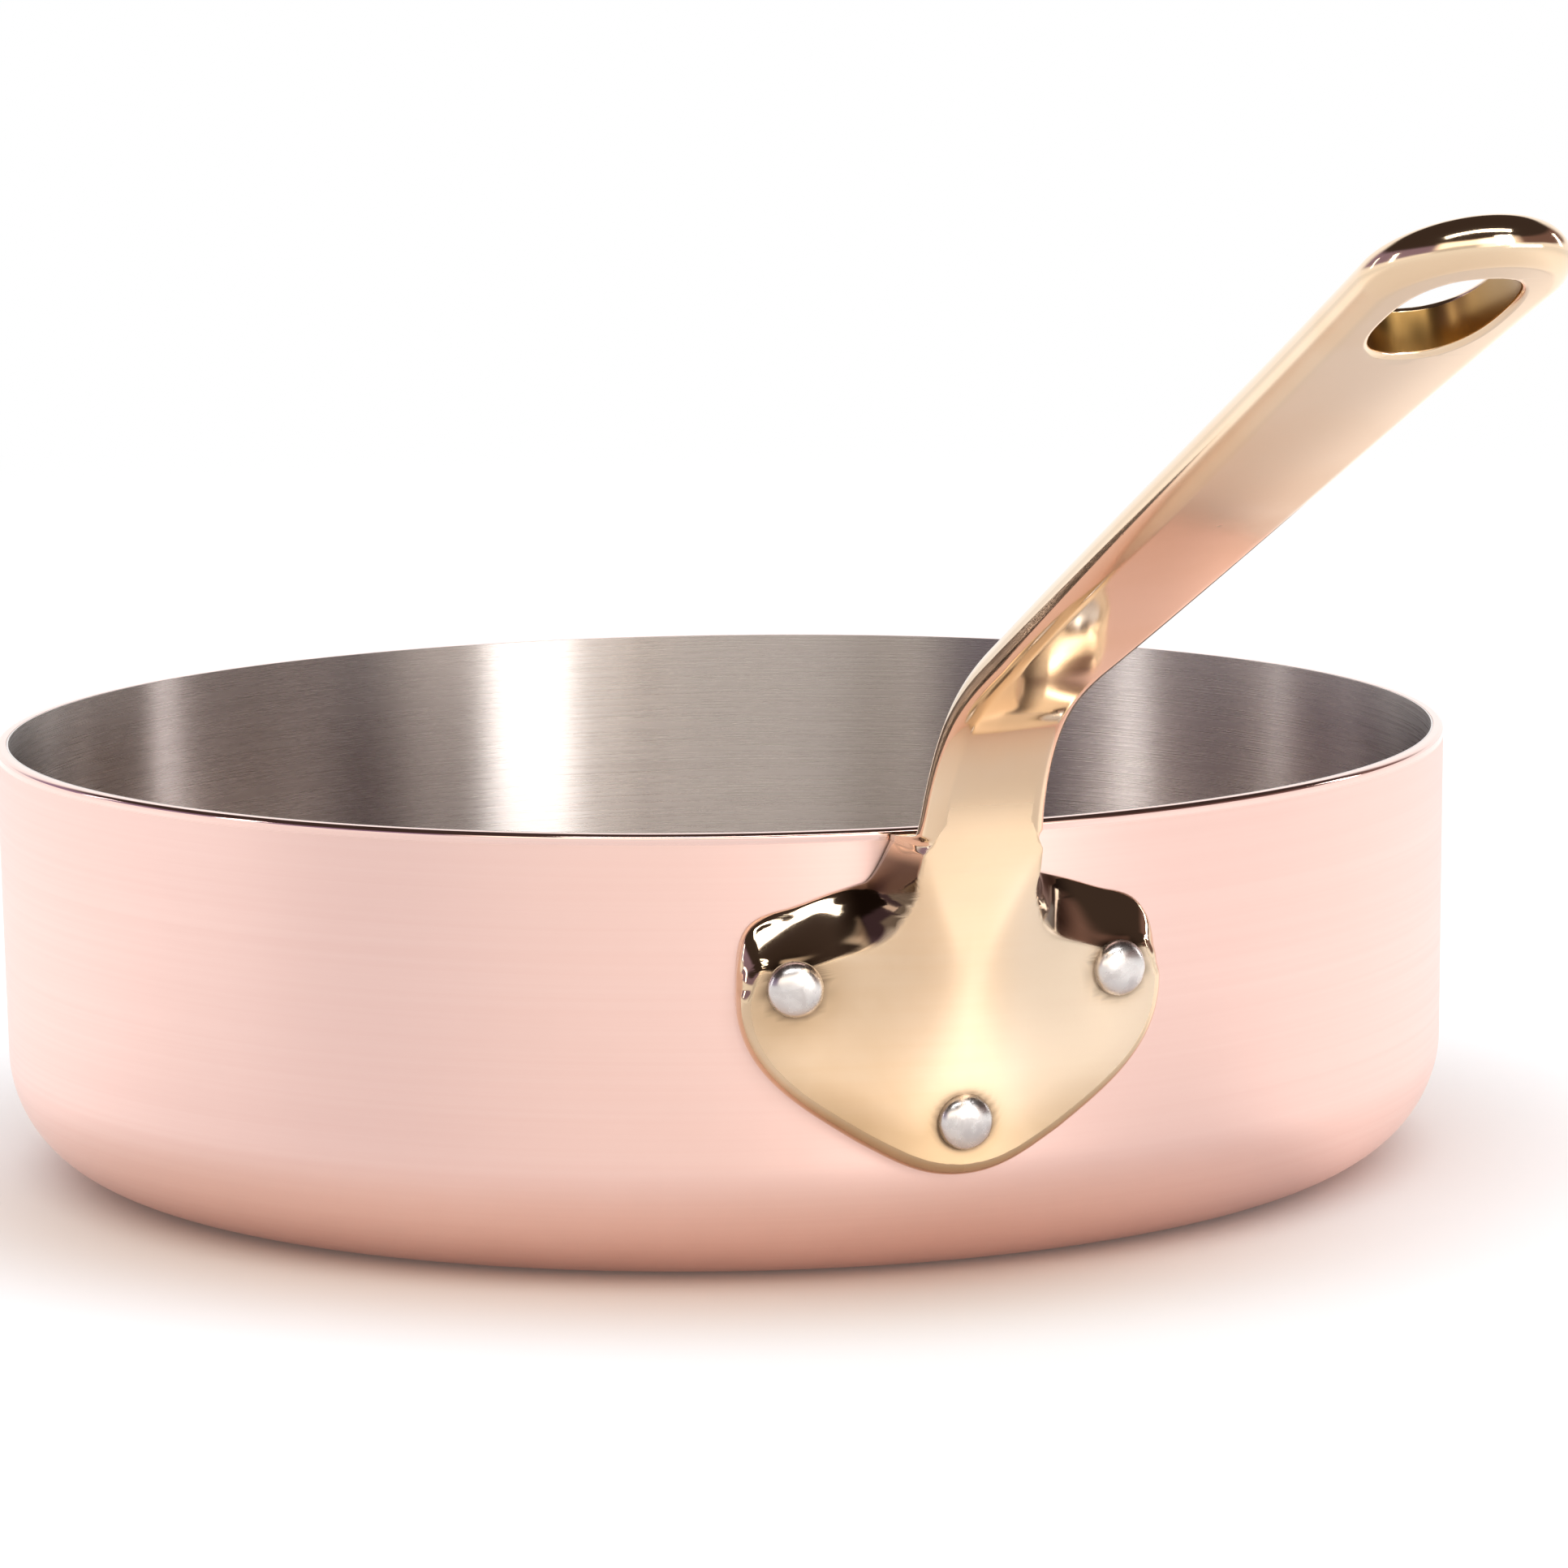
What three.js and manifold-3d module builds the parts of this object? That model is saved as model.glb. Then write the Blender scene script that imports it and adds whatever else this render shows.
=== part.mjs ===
// Straight-walled copper frying pan with a steel lining and a riveted cast brass handle.
// Millimetres, +Z up. The origin is the centre of the flat underside, the handle points along +X.

import * as THREE from "three";
import { mergeVertices } from "three/addons/utils/BufferGeometryUtils.js";
import Module from "manifold-3d";

// Pan shell
const RIM_RADIUS = 120;
const PAN_HEIGHT = 71;
const WALL_DRAFT = 1.0;
const CORNER_RADIUS = 20;
const COPPER_WALL = 1.55;
const BOND_GAP = 0.1;
const LINING_WALL = 0.35;
const RIM_EDGE_ROUND = 0.75;

// Handle flange: heights from the floor or down from the rim, half widths along the wall
const FLANGE_TIP_HEIGHT = 17.7;
const FLANGE_HALF_WIDTH = 33.6;
const FLANGE_SIDE_SHARE = 0.68;
const EAR_DROP = 11.8;
const EAR_HALF_WIDTH = 26.5;
const FLANGE_THICKNESS = 5;
const FLANGE_EDGE_ROUND = 2.2;
const FLANGE_EDGE_DEPTH = 3.4;
const SHOULDER_DEPTH = 20;
const CREST_HALF_WIDTH = 7;
const CREST_FOOT = 22;

// Lower edge of the flange, as shares of its half width and of the height of its widest place
const TIP_PULL = [0.19, 0];
const DIAGONAL_LEAD = [0.31, 0.1];
const DIAGONAL = [0.47, 0.21];
const DIAGONAL_PULL = [0.72, 0.41];
const SIDE_LEAD = [1, 0.6];

// Upper edge of the flange: how far its curve pulls past the ear, then half widths and rises from the ear
const EAR_CORNER_SIDE = 9.5;
const EAR_CORNER_TOP = 6.4;
const EAR_CORNER_DIP = 1.4;
const SHOULDER_MIDDLE = [18.3, 2.6];
const SHOULDER_END = [14.2, 3.8];
const SHOULDER_LEAD = 0.4;
const SHOULDER_PULL = 0.65;
const ROOT_LEAD = 0.33;
const ROOT_FLARE = 1.7;
const ROOT_FLARE_DROP = 3.4;

// Slope from face to wall on the shoulders, neck root and side of the neck: its width, and how flat it is
const SHOULDER_SLOPE = 9;
const SHOULDER_FLATNESS = 0.85;
const ROOT_SLOPE = 5.6;
const ROOT_FLATNESS = 0.8;
const WEB_SLOPE = 0.9;
const WEB_FLATNESS = 0.5;

// Neck, bend and arm
const NECK_RISE = 4;
const NECK_STANDOFF = 17.6;
const NECK_HALF_WIDTH = 9.5;
const NECK_LEDGE_DROP = 0.3;
const NECK_LEDGE_BLEND = 2.6;
const NECK_LEDGE_FLARE = 0.4;
const NECK_LEDGE_FADE = 4;
const BEND_REACH = 30;
const BEND_RISE = 24.2;
const BEND_ENTRY = 14;
const BEND_EXIT = 16;
const BEND_HALF_WIDTH = 9;
const BEND_END_HALF_WIDTH = 9.3;
const ARM_SLOPE = THREE.MathUtils.degToRad(23.4);
const ARM_LENGTH = 179.5;
const ARM_THICKNESS = 6.8;
const ARM_MIDDLE_HALF_WIDTH = 11.4;
const ARM_END_HALF_WIDTH = 13.5;
const ARM_END_REACH = 15;
const ARM_END_FULLNESS = 0.56;
const ARM_EDGE_ROUND = 2.9;
const ARM_CROWN = 0.4;

// Hanging eye
const EYE_LENGTH = 29;
const EYE_WIDTH = 15.6;
const EYE_END_WALL = 7.6;
const EYE_FULLNESS = 2.5;

// Rivets
const RIVET_LOWER_RISE = 8.8;
const RIVET_UPPER_DROP = 23;
const RIVET_UPPER_ARC = 25;
const RIVET_SHANK = 5;
const RIVET_HEAD = 8.6;
const RIVET_HEAD_HEIGHT = 2.7;
const RIVET_HEAD_SKIRT = 0.5;
const RIVET_HEAD_FULLNESS = 0.8;
const RIVET_INNER_HEAD = 11;
const RIVET_INNER_HEIGHT = 2.2;
const RIVET_SEAT_DEPTH = 0.45;

// Clearance between pieces that rest on each other, and how far a cut runs past what it cuts
const SEAT_GAP = 0.3;
const CUT_ALLOWANCE = 12;

// Fineness of the round and lofted pieces
const PAN_SEGMENTS = 72;
const CORNER_STEPS = 6;
const RING_STEPS = 16;
const EYE_STEPS = 40;
const RIVET_SEGMENTS = 20;
const DOME_STEPS = 5;
const OUTLINE_REFINE = 4;
const WELD_DISTANCE = 1e-4;

// Boolean helpers
const wasm = await Module();
wasm.setup();

function toSolid(geometry) {
  const bare = geometry.clone();
  bare.deleteAttribute("normal");
  bare.deleteAttribute("uv");
  const merged = mergeVertices(bare, WELD_DISTANCE);
  const index = merged.index.array;
  const triangles = [];
  for (let i = 0; i < index.length; i += 3) {
    const [a, b, c] = [index[i], index[i + 1], index[i + 2]];
    if (a !== b && b !== c && c !== a) triangles.push(a, b, c);
  }
  return new wasm.Manifold(new wasm.Mesh({
    numProp: 3,
    vertProperties: new Float32Array(merged.attributes.position.array),
    triVerts: new Uint32Array(triangles),
  }));
}

function toGeometry(solid) {
  const mesh = solid.getMesh();
  const geometry = new THREE.BufferGeometry();
  geometry.setAttribute("position", new THREE.BufferAttribute(mesh.vertProperties, 3));
  geometry.setIndex(new THREE.BufferAttribute(mesh.triVerts, 1));
  geometry.computeVertexNormals();
  return geometry;
}

const smooth = (value, low, high) => THREE.MathUtils.smoothstep(value, low, high);
const mix = THREE.MathUtils.lerp;

// Pan wall: one profile, offset inwards from the outer face
const draftAngle = Math.atan(WALL_DRAFT / PAN_HEIGHT);
const wallRadius = (height) => RIM_RADIUS - WALL_DRAFT * (1 - height / PAN_HEIGHT);
const cornerCentre = wallRadius(CORNER_RADIUS) - CORNER_RADIUS / Math.cos(draftAngle);

function shellLine(offset, top) {
  const radius = CORNER_RADIUS - offset;
  const line = [new THREE.Vector2(0, offset)];
  for (let i = 0; i <= CORNER_STEPS; i += 1) {
    const angle = mix(-Math.PI / 2, -draftAngle, i / CORNER_STEPS);
    const x = cornerCentre + radius * Math.cos(angle);
    line.push(new THREE.Vector2(x, CORNER_RADIUS + radius * Math.sin(angle)));
  }
  line.push(new THREE.Vector2(wallRadius(top) - offset / Math.cos(draftAngle), top));
  return line;
}

function shellSolid(outerOffset, innerOffset, edgeRound) {
  const outer = shellLine(outerOffset, PAN_HEIGHT - edgeRound);
  const inner = shellLine(innerOffset, PAN_HEIGHT);
  const edge = outer[outer.length - 1];
  const rounded = new THREE.Vector2(edge.x - edgeRound, PAN_HEIGHT);
  const inset = edgeRound * (1 - Math.SQRT1_2);
  const middle = new THREE.Vector2(edge.x - inset, PAN_HEIGHT - inset);
  const rim = edgeRound > 0 ? [middle, rounded] : [];
  const profile = [...outer, ...rim, ...inner.reverse()];
  const lathe = new THREE.LatheGeometry(profile, PAN_SEGMENTS);
  return toSolid(lathe.rotateX(Math.PI / 2));
}

// Solid of the pan's outside, used to fit the flange to the wall
function wallPlug(clearance) {
  const line = shellLine(-clearance, PAN_HEIGHT);
  line.push(new THREE.Vector2(0, PAN_HEIGHT));
  return toSolid(new THREE.LatheGeometry(line, PAN_SEGMENTS).rotateX(Math.PI / 2));
}

// Front line of the handle: the middle of its outer face, then of its underside
const neckSpan = PAN_HEIGHT + NECK_RISE - FLANGE_TIP_HEIGHT;
const foot = new THREE.Vector2(wallRadius(FLANGE_TIP_HEIGHT) + FLANGE_THICKNESS, FLANGE_TIP_HEIGHT);
const riseMiddle = new THREE.Vector2(foot.x, foot.y + neckSpan / 2);
const neck = new THREE.Vector2(RIM_RADIUS + NECK_STANDOFF, foot.y + neckSpan);
const neckDirection = neck.clone().sub(riseMiddle).normalize();
const armDirection = new THREE.Vector2(Math.cos(ARM_SLOPE), Math.sin(ARM_SLOPE));
const bendEnd = new THREE.Vector2(neck.x + BEND_REACH, neck.y + BEND_RISE);
const rise = new THREE.QuadraticBezierCurve(foot, riseMiddle, neck);
const bend = new THREE.CubicBezierCurve(
  neck,
  neck.clone().addScaledVector(neckDirection, BEND_ENTRY),
  bendEnd.clone().addScaledVector(armDirection, -BEND_EXIT),
  bendEnd,
);

// Places along that line, as the run from the flange tip
const bendLength = bend.getLength();
const bendEndRun = neckSpan + bendLength;
const handleRun = bendEndRun + ARM_LENGTH;
const earRun = PAN_HEIGHT - EAR_DROP - FLANGE_TIP_HEIGHT;
const sideRun = FLANGE_SIDE_SHARE * earRun;
const ledgeRun = PAN_HEIGHT - NECK_LEDGE_DROP - FLANGE_TIP_HEIGHT;
const capRun = handleRun - ARM_END_REACH;

function frontLine(run) {
  if (run <= neckSpan) return rise.getPoint(run / neckSpan);
  if (run <= bendEndRun) return bend.getPointAt(Math.min((run - neckSpan) / bendLength, 1));
  return bendEnd.clone().addScaledVector(armDirection, run - bendEndRun);
}

// Half outline of the handle laid flat, as stretches between places of known half width
const at = (across, run) => new THREE.Vector2(across, run);
const onPlate = ([width, height]) => at(width * FLANGE_HALF_WIDTH, height * sideRun);
const sideEnd = at(FLANGE_HALF_WIDTH, sideRun);
const earEnd = at(EAR_HALF_WIDTH, earRun);
const earCorner = at(EAR_HALF_WIDTH + EAR_CORNER_TOP, earRun - EAR_CORNER_DIP);
const shoulderMiddle = at(SHOULDER_MIDDLE[0], earRun + SHOULDER_MIDDLE[1]);
const shoulderEnd = at(SHOULDER_END[0], earRun + SHOULDER_END[1]);
const ledgeStart = at(NECK_HALF_WIDTH + NECK_LEDGE_FLARE, ledgeRun - NECK_LEDGE_BLEND / 2);
const ledgeEnd = at(NECK_HALF_WIDTH, ledgeRun + NECK_LEDGE_FADE);
const bendPlace = at(BEND_END_HALF_WIDTH, bendEndRun);
const capPlace = at(ARM_END_HALF_WIDTH, capRun);
const endPlace = at(0, handleRun);

// Edges met along the outline: width of the rounded or sloping edge, and how flat the slope is
const plateEdge = { width: FLANGE_EDGE_ROUND, flatness: 0 };
const shoulderEdge = { width: SHOULDER_SLOPE, flatness: SHOULDER_FLATNESS };
const rootEdge = { width: ROOT_SLOPE, flatness: ROOT_FLATNESS };
const webEdge = { width: WEB_SLOPE, flatness: WEB_FLATNESS };
const armEdge = { width: ARM_EDGE_ROUND, flatness: 0 };

const outlineStretches = [
  {
    curve: [at(0, 0), onPlate(TIP_PULL), onPlate(DIAGONAL_LEAD), onPlate(DIAGONAL)],
    rows: 9,
    edges: [plateEdge, plateEdge],
  },
  {
    curve: [onPlate(DIAGONAL), onPlate(DIAGONAL_PULL), onPlate(SIDE_LEAD), sideEnd],
    rows: 9,
    edges: [plateEdge, plateEdge],
  },
  {
    curve: [
      sideEnd,
      at(FLANGE_HALF_WIDTH, sideRun + EAR_CORNER_SIDE),
      earCorner,
      earEnd,
    ],
    rows: 12,
    edges: [plateEdge, shoulderEdge],
  },
  {
    curve: [
      earEnd,
      earCorner.clone().lerp(earEnd, 1 + SHOULDER_LEAD),
      shoulderEnd.clone().lerp(shoulderMiddle, 1 + SHOULDER_PULL),
      shoulderMiddle,
    ],
    rows: 5,
    edges: [shoulderEdge, shoulderEdge],
  },
  {
    curve: [
      shoulderMiddle,
      shoulderMiddle.clone().lerp(shoulderEnd, 1 / 3),
      shoulderMiddle.clone().lerp(shoulderEnd, 2 / 3),
      shoulderEnd,
    ],
    rows: 4,
    edges: [shoulderEdge, rootEdge],
  },
  {
    curve: [
      shoulderEnd,
      shoulderMiddle.clone().lerp(shoulderEnd, 1 + ROOT_LEAD),
      at(ledgeStart.x + ROOT_FLARE, ledgeStart.y - ROOT_FLARE_DROP),
      ledgeStart,
    ],
    rows: 8,
    edges: [rootEdge, webEdge],
  },
  {
    curve: [
      ledgeStart,
      ledgeStart.clone().lerp(ledgeEnd, 1 / 3),
      ledgeStart.clone().lerp(ledgeEnd, 2 / 3),
      ledgeEnd,
    ],
    rows: 8,
    edges: [webEdge, armEdge],
  },
  {
    curve: [
      ledgeEnd,
      at(BEND_HALF_WIDTH, mix(ledgeEnd.y, bendEndRun, 1 / 3)),
      at(BEND_HALF_WIDTH, mix(ledgeEnd.y, bendEndRun, 2 / 3)),
      bendPlace,
    ],
    rows: 12,
    edges: [armEdge, armEdge],
  },
  {
    curve: [
      bendPlace,
      at(ARM_MIDDLE_HALF_WIDTH, mix(bendEndRun, capRun, 1 / 3)),
      at(ARM_MIDDLE_HALF_WIDTH, mix(bendEndRun, capRun, 2 / 3)),
      capPlace,
    ],
    rows: 14,
    edges: [armEdge, armEdge],
  },
  {
    curve: [
      capPlace,
      at(ARM_END_HALF_WIDTH, mix(capRun, handleRun, ARM_END_FULLNESS)),
      at(ARM_END_HALF_WIDTH * ARM_END_FULLNESS, handleRun),
      endPlace,
    ],
    rows: 12,
    edges: [armEdge, armEdge],
  },
];

// Outline points, each with the edge it has there
function halfOutline(refine) {
  return outlineStretches.flatMap(({ curve, rows, edges }, i) => {
    const steps = rows * refine;
    const points = new THREE.CubicBezierCurve(...curve).getPoints(steps);
    const part = points.map((point, k) => ({
      across: point.x,
      run: point.y,
      width: mix(edges[0].width, edges[1].width, k / steps),
      flatness: mix(edges[0].flatness, edges[1].flatness, k / steps),
    }));
    return i === 0 ? part : part.slice(1);
  });
}

// Share of the full thickness at a point, from its distance to the outline: a quarter round or a slope
const fineOutline = halfOutline(OUTLINE_REFINE);

function edgeShare(across, run) {
  let nearest = 1;
  let flatness = 0;
  for (let i = 1; i < fineOutline.length; i += 1) {
    const [a, b] = [fineOutline[i - 1], fineOutline[i]];
    const [dx, dy] = [b.across - a.across, b.run - a.run];
    const along = ((across - a.across) * dx + (run - a.run) * dy) / (dx * dx + dy * dy);
    const t = THREE.MathUtils.clamp(along, 0, 1);
    const gap = Math.hypot(across - a.across - t * dx, run - a.run - t * dy);
    const share = gap / mix(a.width, b.width, t);
    if (share < nearest) {
      nearest = share;
      flatness = mix(a.flatness, b.flatness, t);
    }
  }
  return mix(Math.sqrt(1 - (1 - nearest) ** 2), nearest, flatness);
}

// Depth of the edge: shallow on the plate, down to the wall on the sloping shoulders and below the rim
function rollDepth(run) {
  return mix(FLANGE_EDGE_DEPTH, SHOULDER_DEPTH, smooth(run, sideRun, earRun - FLANGE_EDGE_ROUND));
}

// A point of the casting: side is 1 on the outer face and underside, -1 on the back and top
function handlePoint(across, run, side) {
  const line = frontLine(run);
  const flat = smooth(run, earRun, ledgeEnd.y);
  const free = smooth(run, ledgeRun - NECK_LEDGE_BLEND / 2, ledgeRun + NECK_LEDGE_BLEND / 2);
  const tilt = (Math.PI / 2 - ARM_SLOPE) * smooth(run, ledgeRun, bendEndRun);

  // Depths measured back from the front line: the face, the outline and the back
  const wallDepth = line.x - wallRadius(Math.min(line.y, PAN_HEIGHT));
  const crest = CREST_HALF_WIDTH * smooth(run, sideRun, ledgeRun);
  const crestFall = smooth(Math.abs(across), crest, CREST_FOOT);
  const fall = Math.max(wallDepth - FLANGE_THICKNESS, 0) * crestFall;
  const crown = ARM_CROWN * (across / ARM_END_HALF_WIDTH) ** 2;
  const face = mix(fall, crown, flat);
  const roll = mix(rollDepth(run), ARM_THICKNESS / 2 - crown, free);
  const edge = Math.min(wallDepth, face + roll);
  const back = mix(wallDepth + CUT_ALLOWANCE, ARM_THICKNESS - crown, free);

  const share = edgeShare(Math.abs(across), run);
  const depth = mix(edge, side > 0 ? face : back, share);
  const reach = line.x - depth * Math.cos(tilt);
  const angle = across / RIM_RADIUS;
  return new THREE.Vector3(
    mix(reach * Math.cos(angle), reach, flat),
    mix(reach * Math.sin(angle), across, flat),
    line.y + depth * Math.sin(tilt),
  );
}

// Loft of the casting: a ring of points at each row of the outline, closed by a pole at both ends
function handleLoft() {
  const rows = halfOutline(1);
  const positions = [];
  const triangles = [];
  const inner = rows.slice(1, -1);
  inner.forEach(({ across, run }) => {
    for (let k = 0; k < 2 * RING_STEPS; k += 1) {
      const share = -Math.cos((Math.PI * k) / RING_STEPS);
      const point = handlePoint(share * across, run, k <= RING_STEPS ? 1 : -1);
      positions.push(point.x, point.y, point.z);
    }
  });
  const ring = 2 * RING_STEPS;
  const first = inner.length * ring;
  const last = first + 1;
  [rows[0], rows[rows.length - 1]].forEach(({ run }) => {
    const pole = handlePoint(0, run, 1);
    positions.push(pole.x, pole.y, pole.z);
  });
  for (let k = 0; k < ring; k += 1) {
    const next = (k + 1) % ring;
    triangles.push(first, next, k);
    for (let i = 0; i + 1 < inner.length; i += 1) {
      const [a, b] = [i * ring + k, i * ring + next];
      triangles.push(a, b, b + ring, a, b + ring, a + ring);
    }
    const tail = (inner.length - 1) * ring;
    triangles.push(tail + k, tail + next, last);
  }
  const geometry = new THREE.BufferGeometry();
  geometry.setAttribute("position", new THREE.Float32BufferAttribute(positions, 3));
  geometry.setIndex(triangles);
  return toSolid(geometry);
}

// Prism of the hanging eye, square to the arm
function eyePrism() {
  const shape = new THREE.Shape();
  const power = 2 / EYE_FULLNESS;
  for (let i = 0; i < EYE_STEPS; i += 1) {
    const angle = (2 * Math.PI * i) / EYE_STEPS;
    const [c, s] = [Math.cos(angle), Math.sin(angle)];
    const along = (EYE_LENGTH / 2) * Math.sign(c) * Math.abs(c) ** power;
    const across = (EYE_WIDTH / 2) * Math.sign(s) * Math.abs(s) ** power;
    if (i === 0) shape.moveTo(along, across);
    else shape.lineTo(along, across);
  }
  const depth = 2 * (ARM_THICKNESS + CUT_ALLOWANCE);
  const prism = new THREE.ExtrudeGeometry(shape, { depth, bevelEnabled: false });
  const centre = frontLine(handleRun - EYE_END_WALL - EYE_LENGTH / 2);
  prism.translate(0, 0, -depth / 2);
  prism.rotateY(-ARM_SLOPE);
  prism.translate(centre.x, 0, centre.y);
  return toSolid(prism);
}

// Rivets: places, the holes they need, and the rivet itself
const upperAngle = RIVET_UPPER_ARC / RIM_RADIUS;
const upperHeight = PAN_HEIGHT - RIVET_UPPER_DROP;
const rivets = [
  { name: "rivet_upper_left", angle: -upperAngle, height: upperHeight },
  { name: "rivet_upper_right", angle: upperAngle, height: upperHeight },
  { name: "rivet_lower", angle: 0, height: FLANGE_TIP_HEIGHT + RIVET_LOWER_RISE },
];

function seatRadius({ angle, height }) {
  const front = handlePoint(angle * RIM_RADIUS, height - FLANGE_TIP_HEIGHT, 1);
  return Math.hypot(front.x, front.y) - RIVET_SEAT_DEPTH;
}

function radialRod(rivet, diameter, start, end) {
  const rod = new THREE.CylinderGeometry(diameter / 2, diameter / 2, end - start, RIVET_SEGMENTS);
  rod.rotateZ(-Math.PI / 2);
  rod.translate((start + end) / 2, 0, rivet.height);
  rod.rotateZ(rivet.angle);
  return toSolid(rod);
}

function rivetGeometry(rivet) {
  const seat = seatRadius(rivet) + SEAT_GAP;
  const innerRadius = RIVET_INNER_HEAD / 2;
  const liningFace = wallRadius(rivet.height - innerRadius) - COPPER_WALL - BOND_GAP - LINING_WALL;
  const innerSeat = Math.sqrt(liningFace ** 2 - innerRadius ** 2) - SEAT_GAP;
  const shank = RIVET_SHANK / 2;
  const profile = [new THREE.Vector2(0, innerSeat - RIVET_INNER_HEIGHT)];
  for (let i = 1; i <= DOME_STEPS; i += 1) {
    const angle = (Math.PI / 2) * (i / DOME_STEPS);
    const lift = RIVET_INNER_HEIGHT * Math.cos(angle);
    profile.push(new THREE.Vector2(innerRadius * Math.sin(angle), innerSeat - lift));
  }
  profile.push(new THREE.Vector2(shank, innerSeat));
  profile.push(new THREE.Vector2(shank, seat));
  profile.push(new THREE.Vector2(RIVET_HEAD / 2, seat));
  for (let i = 0; i <= DOME_STEPS; i += 1) {
    const angle = (Math.PI / 2) * (i / DOME_STEPS);
    const lift = RIVET_HEAD_SKIRT + (RIVET_HEAD_HEIGHT - RIVET_HEAD_SKIRT) * Math.sin(angle);
    profile.push(new THREE.Vector2((RIVET_HEAD / 2) * Math.cos(angle) ** RIVET_HEAD_FULLNESS, seat + lift));
  }
  profile[profile.length - 1].x = 0;
  const lathe = new THREE.LatheGeometry(profile, RIVET_SEGMENTS);
  return toGeometry(toSolid(lathe));
}

// Cut the rivet holes, the flange seats and the eye
const holeDiameter = RIVET_SHANK + 2 * SEAT_GAP;
const farOut = RIM_RADIUS + NECK_STANDOFF + CUT_ALLOWANCE;

function drilled(solid) {
  return rivets.reduce(
    (rest, rivet) => rest.subtract(radialRod(rivet, holeDiameter, RIM_RADIUS / 2, farOut)),
    solid,
  );
}

const copperSolid = drilled(shellSolid(0, COPPER_WALL, RIM_EDGE_ROUND));
const liningOffset = COPPER_WALL + BOND_GAP;
const liningSolid = drilled(shellSolid(liningOffset, liningOffset + LINING_WALL, 0));
const seatDiameter = RIVET_HEAD + 2 * SEAT_GAP;
const spotFaced = rivets.reduce(
  (rest, rivet) => rest.subtract(radialRod(rivet, seatDiameter, seatRadius(rivet), farOut)),
  handleLoft().subtract(wallPlug(SEAT_GAP)).subtract(eyePrism()),
);
const handleSolid = drilled(spotFaced);

// Materials
const copper = new THREE.MeshStandardMaterial({ color: 0xe9b7a4, roughness: 0.35, metalness: 1 });
const steel = new THREE.MeshStandardMaterial({ color: 0xb5aca6, roughness: 0.3, metalness: 1 });
const brass = new THREE.MeshStandardMaterial({ color: 0xe3c48e, roughness: 0.12, metalness: 1 });
const rivetSteel = new THREE.MeshStandardMaterial({ color: 0xc9c9cd, roughness: 0.4, metalness: 1 });

// Assembly
const pan = new THREE.Group();

function addPiece(name, geometry, material) {
  const piece = new THREE.Mesh(geometry, material);
  piece.name = name;
  pan.add(piece);
  return piece;
}

addPiece("copper_body", toGeometry(copperSolid), copper);
addPiece("steel_lining", toGeometry(liningSolid), steel);
addPiece("brass_handle", toGeometry(handleSolid), brass);
rivets.forEach((rivet) => {
  const piece = addPiece(rivet.name, rivetGeometry(rivet), rivetSteel);
  const stand = new THREE.Matrix4().makeRotationZ(-Math.PI / 2);
  piece.geometry.applyMatrix4(stand);
  piece.rotation.z = rivet.angle;
  piece.position.z = rivet.height;
});

export default pan;
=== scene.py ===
# %% [markdown]
# # A straight-walled copper pan with a riveted brass handle
# The pan is three trades in one object: a spun copper body bonded to a thin steel lining, a cast and
# polished brass handle, and three rivets that hold the two together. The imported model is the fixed
# frame: it says where each piece is, and this lesson replaces its plain pieces with finished ones.

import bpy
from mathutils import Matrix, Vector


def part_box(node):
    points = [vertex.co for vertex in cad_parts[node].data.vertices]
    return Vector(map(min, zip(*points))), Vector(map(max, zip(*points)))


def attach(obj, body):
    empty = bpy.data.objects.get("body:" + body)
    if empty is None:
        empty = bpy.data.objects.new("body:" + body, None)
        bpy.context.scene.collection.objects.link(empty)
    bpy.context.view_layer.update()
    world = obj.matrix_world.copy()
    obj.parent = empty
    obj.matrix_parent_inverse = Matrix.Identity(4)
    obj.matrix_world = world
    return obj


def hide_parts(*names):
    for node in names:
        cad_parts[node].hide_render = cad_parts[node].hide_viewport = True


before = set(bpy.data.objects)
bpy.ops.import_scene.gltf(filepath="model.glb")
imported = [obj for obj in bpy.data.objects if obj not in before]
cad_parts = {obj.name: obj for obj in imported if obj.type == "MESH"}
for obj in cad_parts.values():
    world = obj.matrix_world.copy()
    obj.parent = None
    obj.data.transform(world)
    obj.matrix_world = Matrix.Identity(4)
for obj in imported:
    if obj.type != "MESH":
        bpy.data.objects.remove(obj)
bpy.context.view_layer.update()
print("frame pieces:", sorted(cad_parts))

# %% Libraries
import math

import bmesh
import bpy
import numpy as np
from mathutils import Matrix, Vector

scene = bpy.context.scene
MM = 0.001
print("working in millimetres, one millimetre is", MM, "scene units")

# %% [markdown]
# ## The wall
# A spun pan is one line turned about its axis: a flat base, a rounded corner and a wall that leans out
# by about a degree. The frame gives its radius and height. The sheet's own sizes are named here, in
# millimetres, because the handle and the rivets have to meet the same wall.

# %% Sizes of the wall
copper_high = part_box("copper_body")[1]
RIM_RADIUS = copper_high.y / MM
PAN_HEIGHT = copper_high.z / MM
WALL_DRAFT = 1.0
CORNER_RADIUS = 20.0
COPPER_WALL = 1.55
BOND_GAP = 0.1
LINING_WALL = 0.35
RIM_EDGE_ROUND = 0.75

wall_lean = math.atan(WALL_DRAFT / PAN_HEIGHT)


def wall_radius(height):
    """Radius of the outside of the copper at a height above the floor."""
    return RIM_RADIUS - WALL_DRAFT * (1 - height / PAN_HEIGHT)


corner_centre = wall_radius(CORNER_RADIUS) - CORNER_RADIUS / math.cos(wall_lean)
print(f"rim {2 * RIM_RADIUS:.1f} mm across, {PAN_HEIGHT:.1f} mm high, flat base {2 * corner_centre:.1f} mm")

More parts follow.
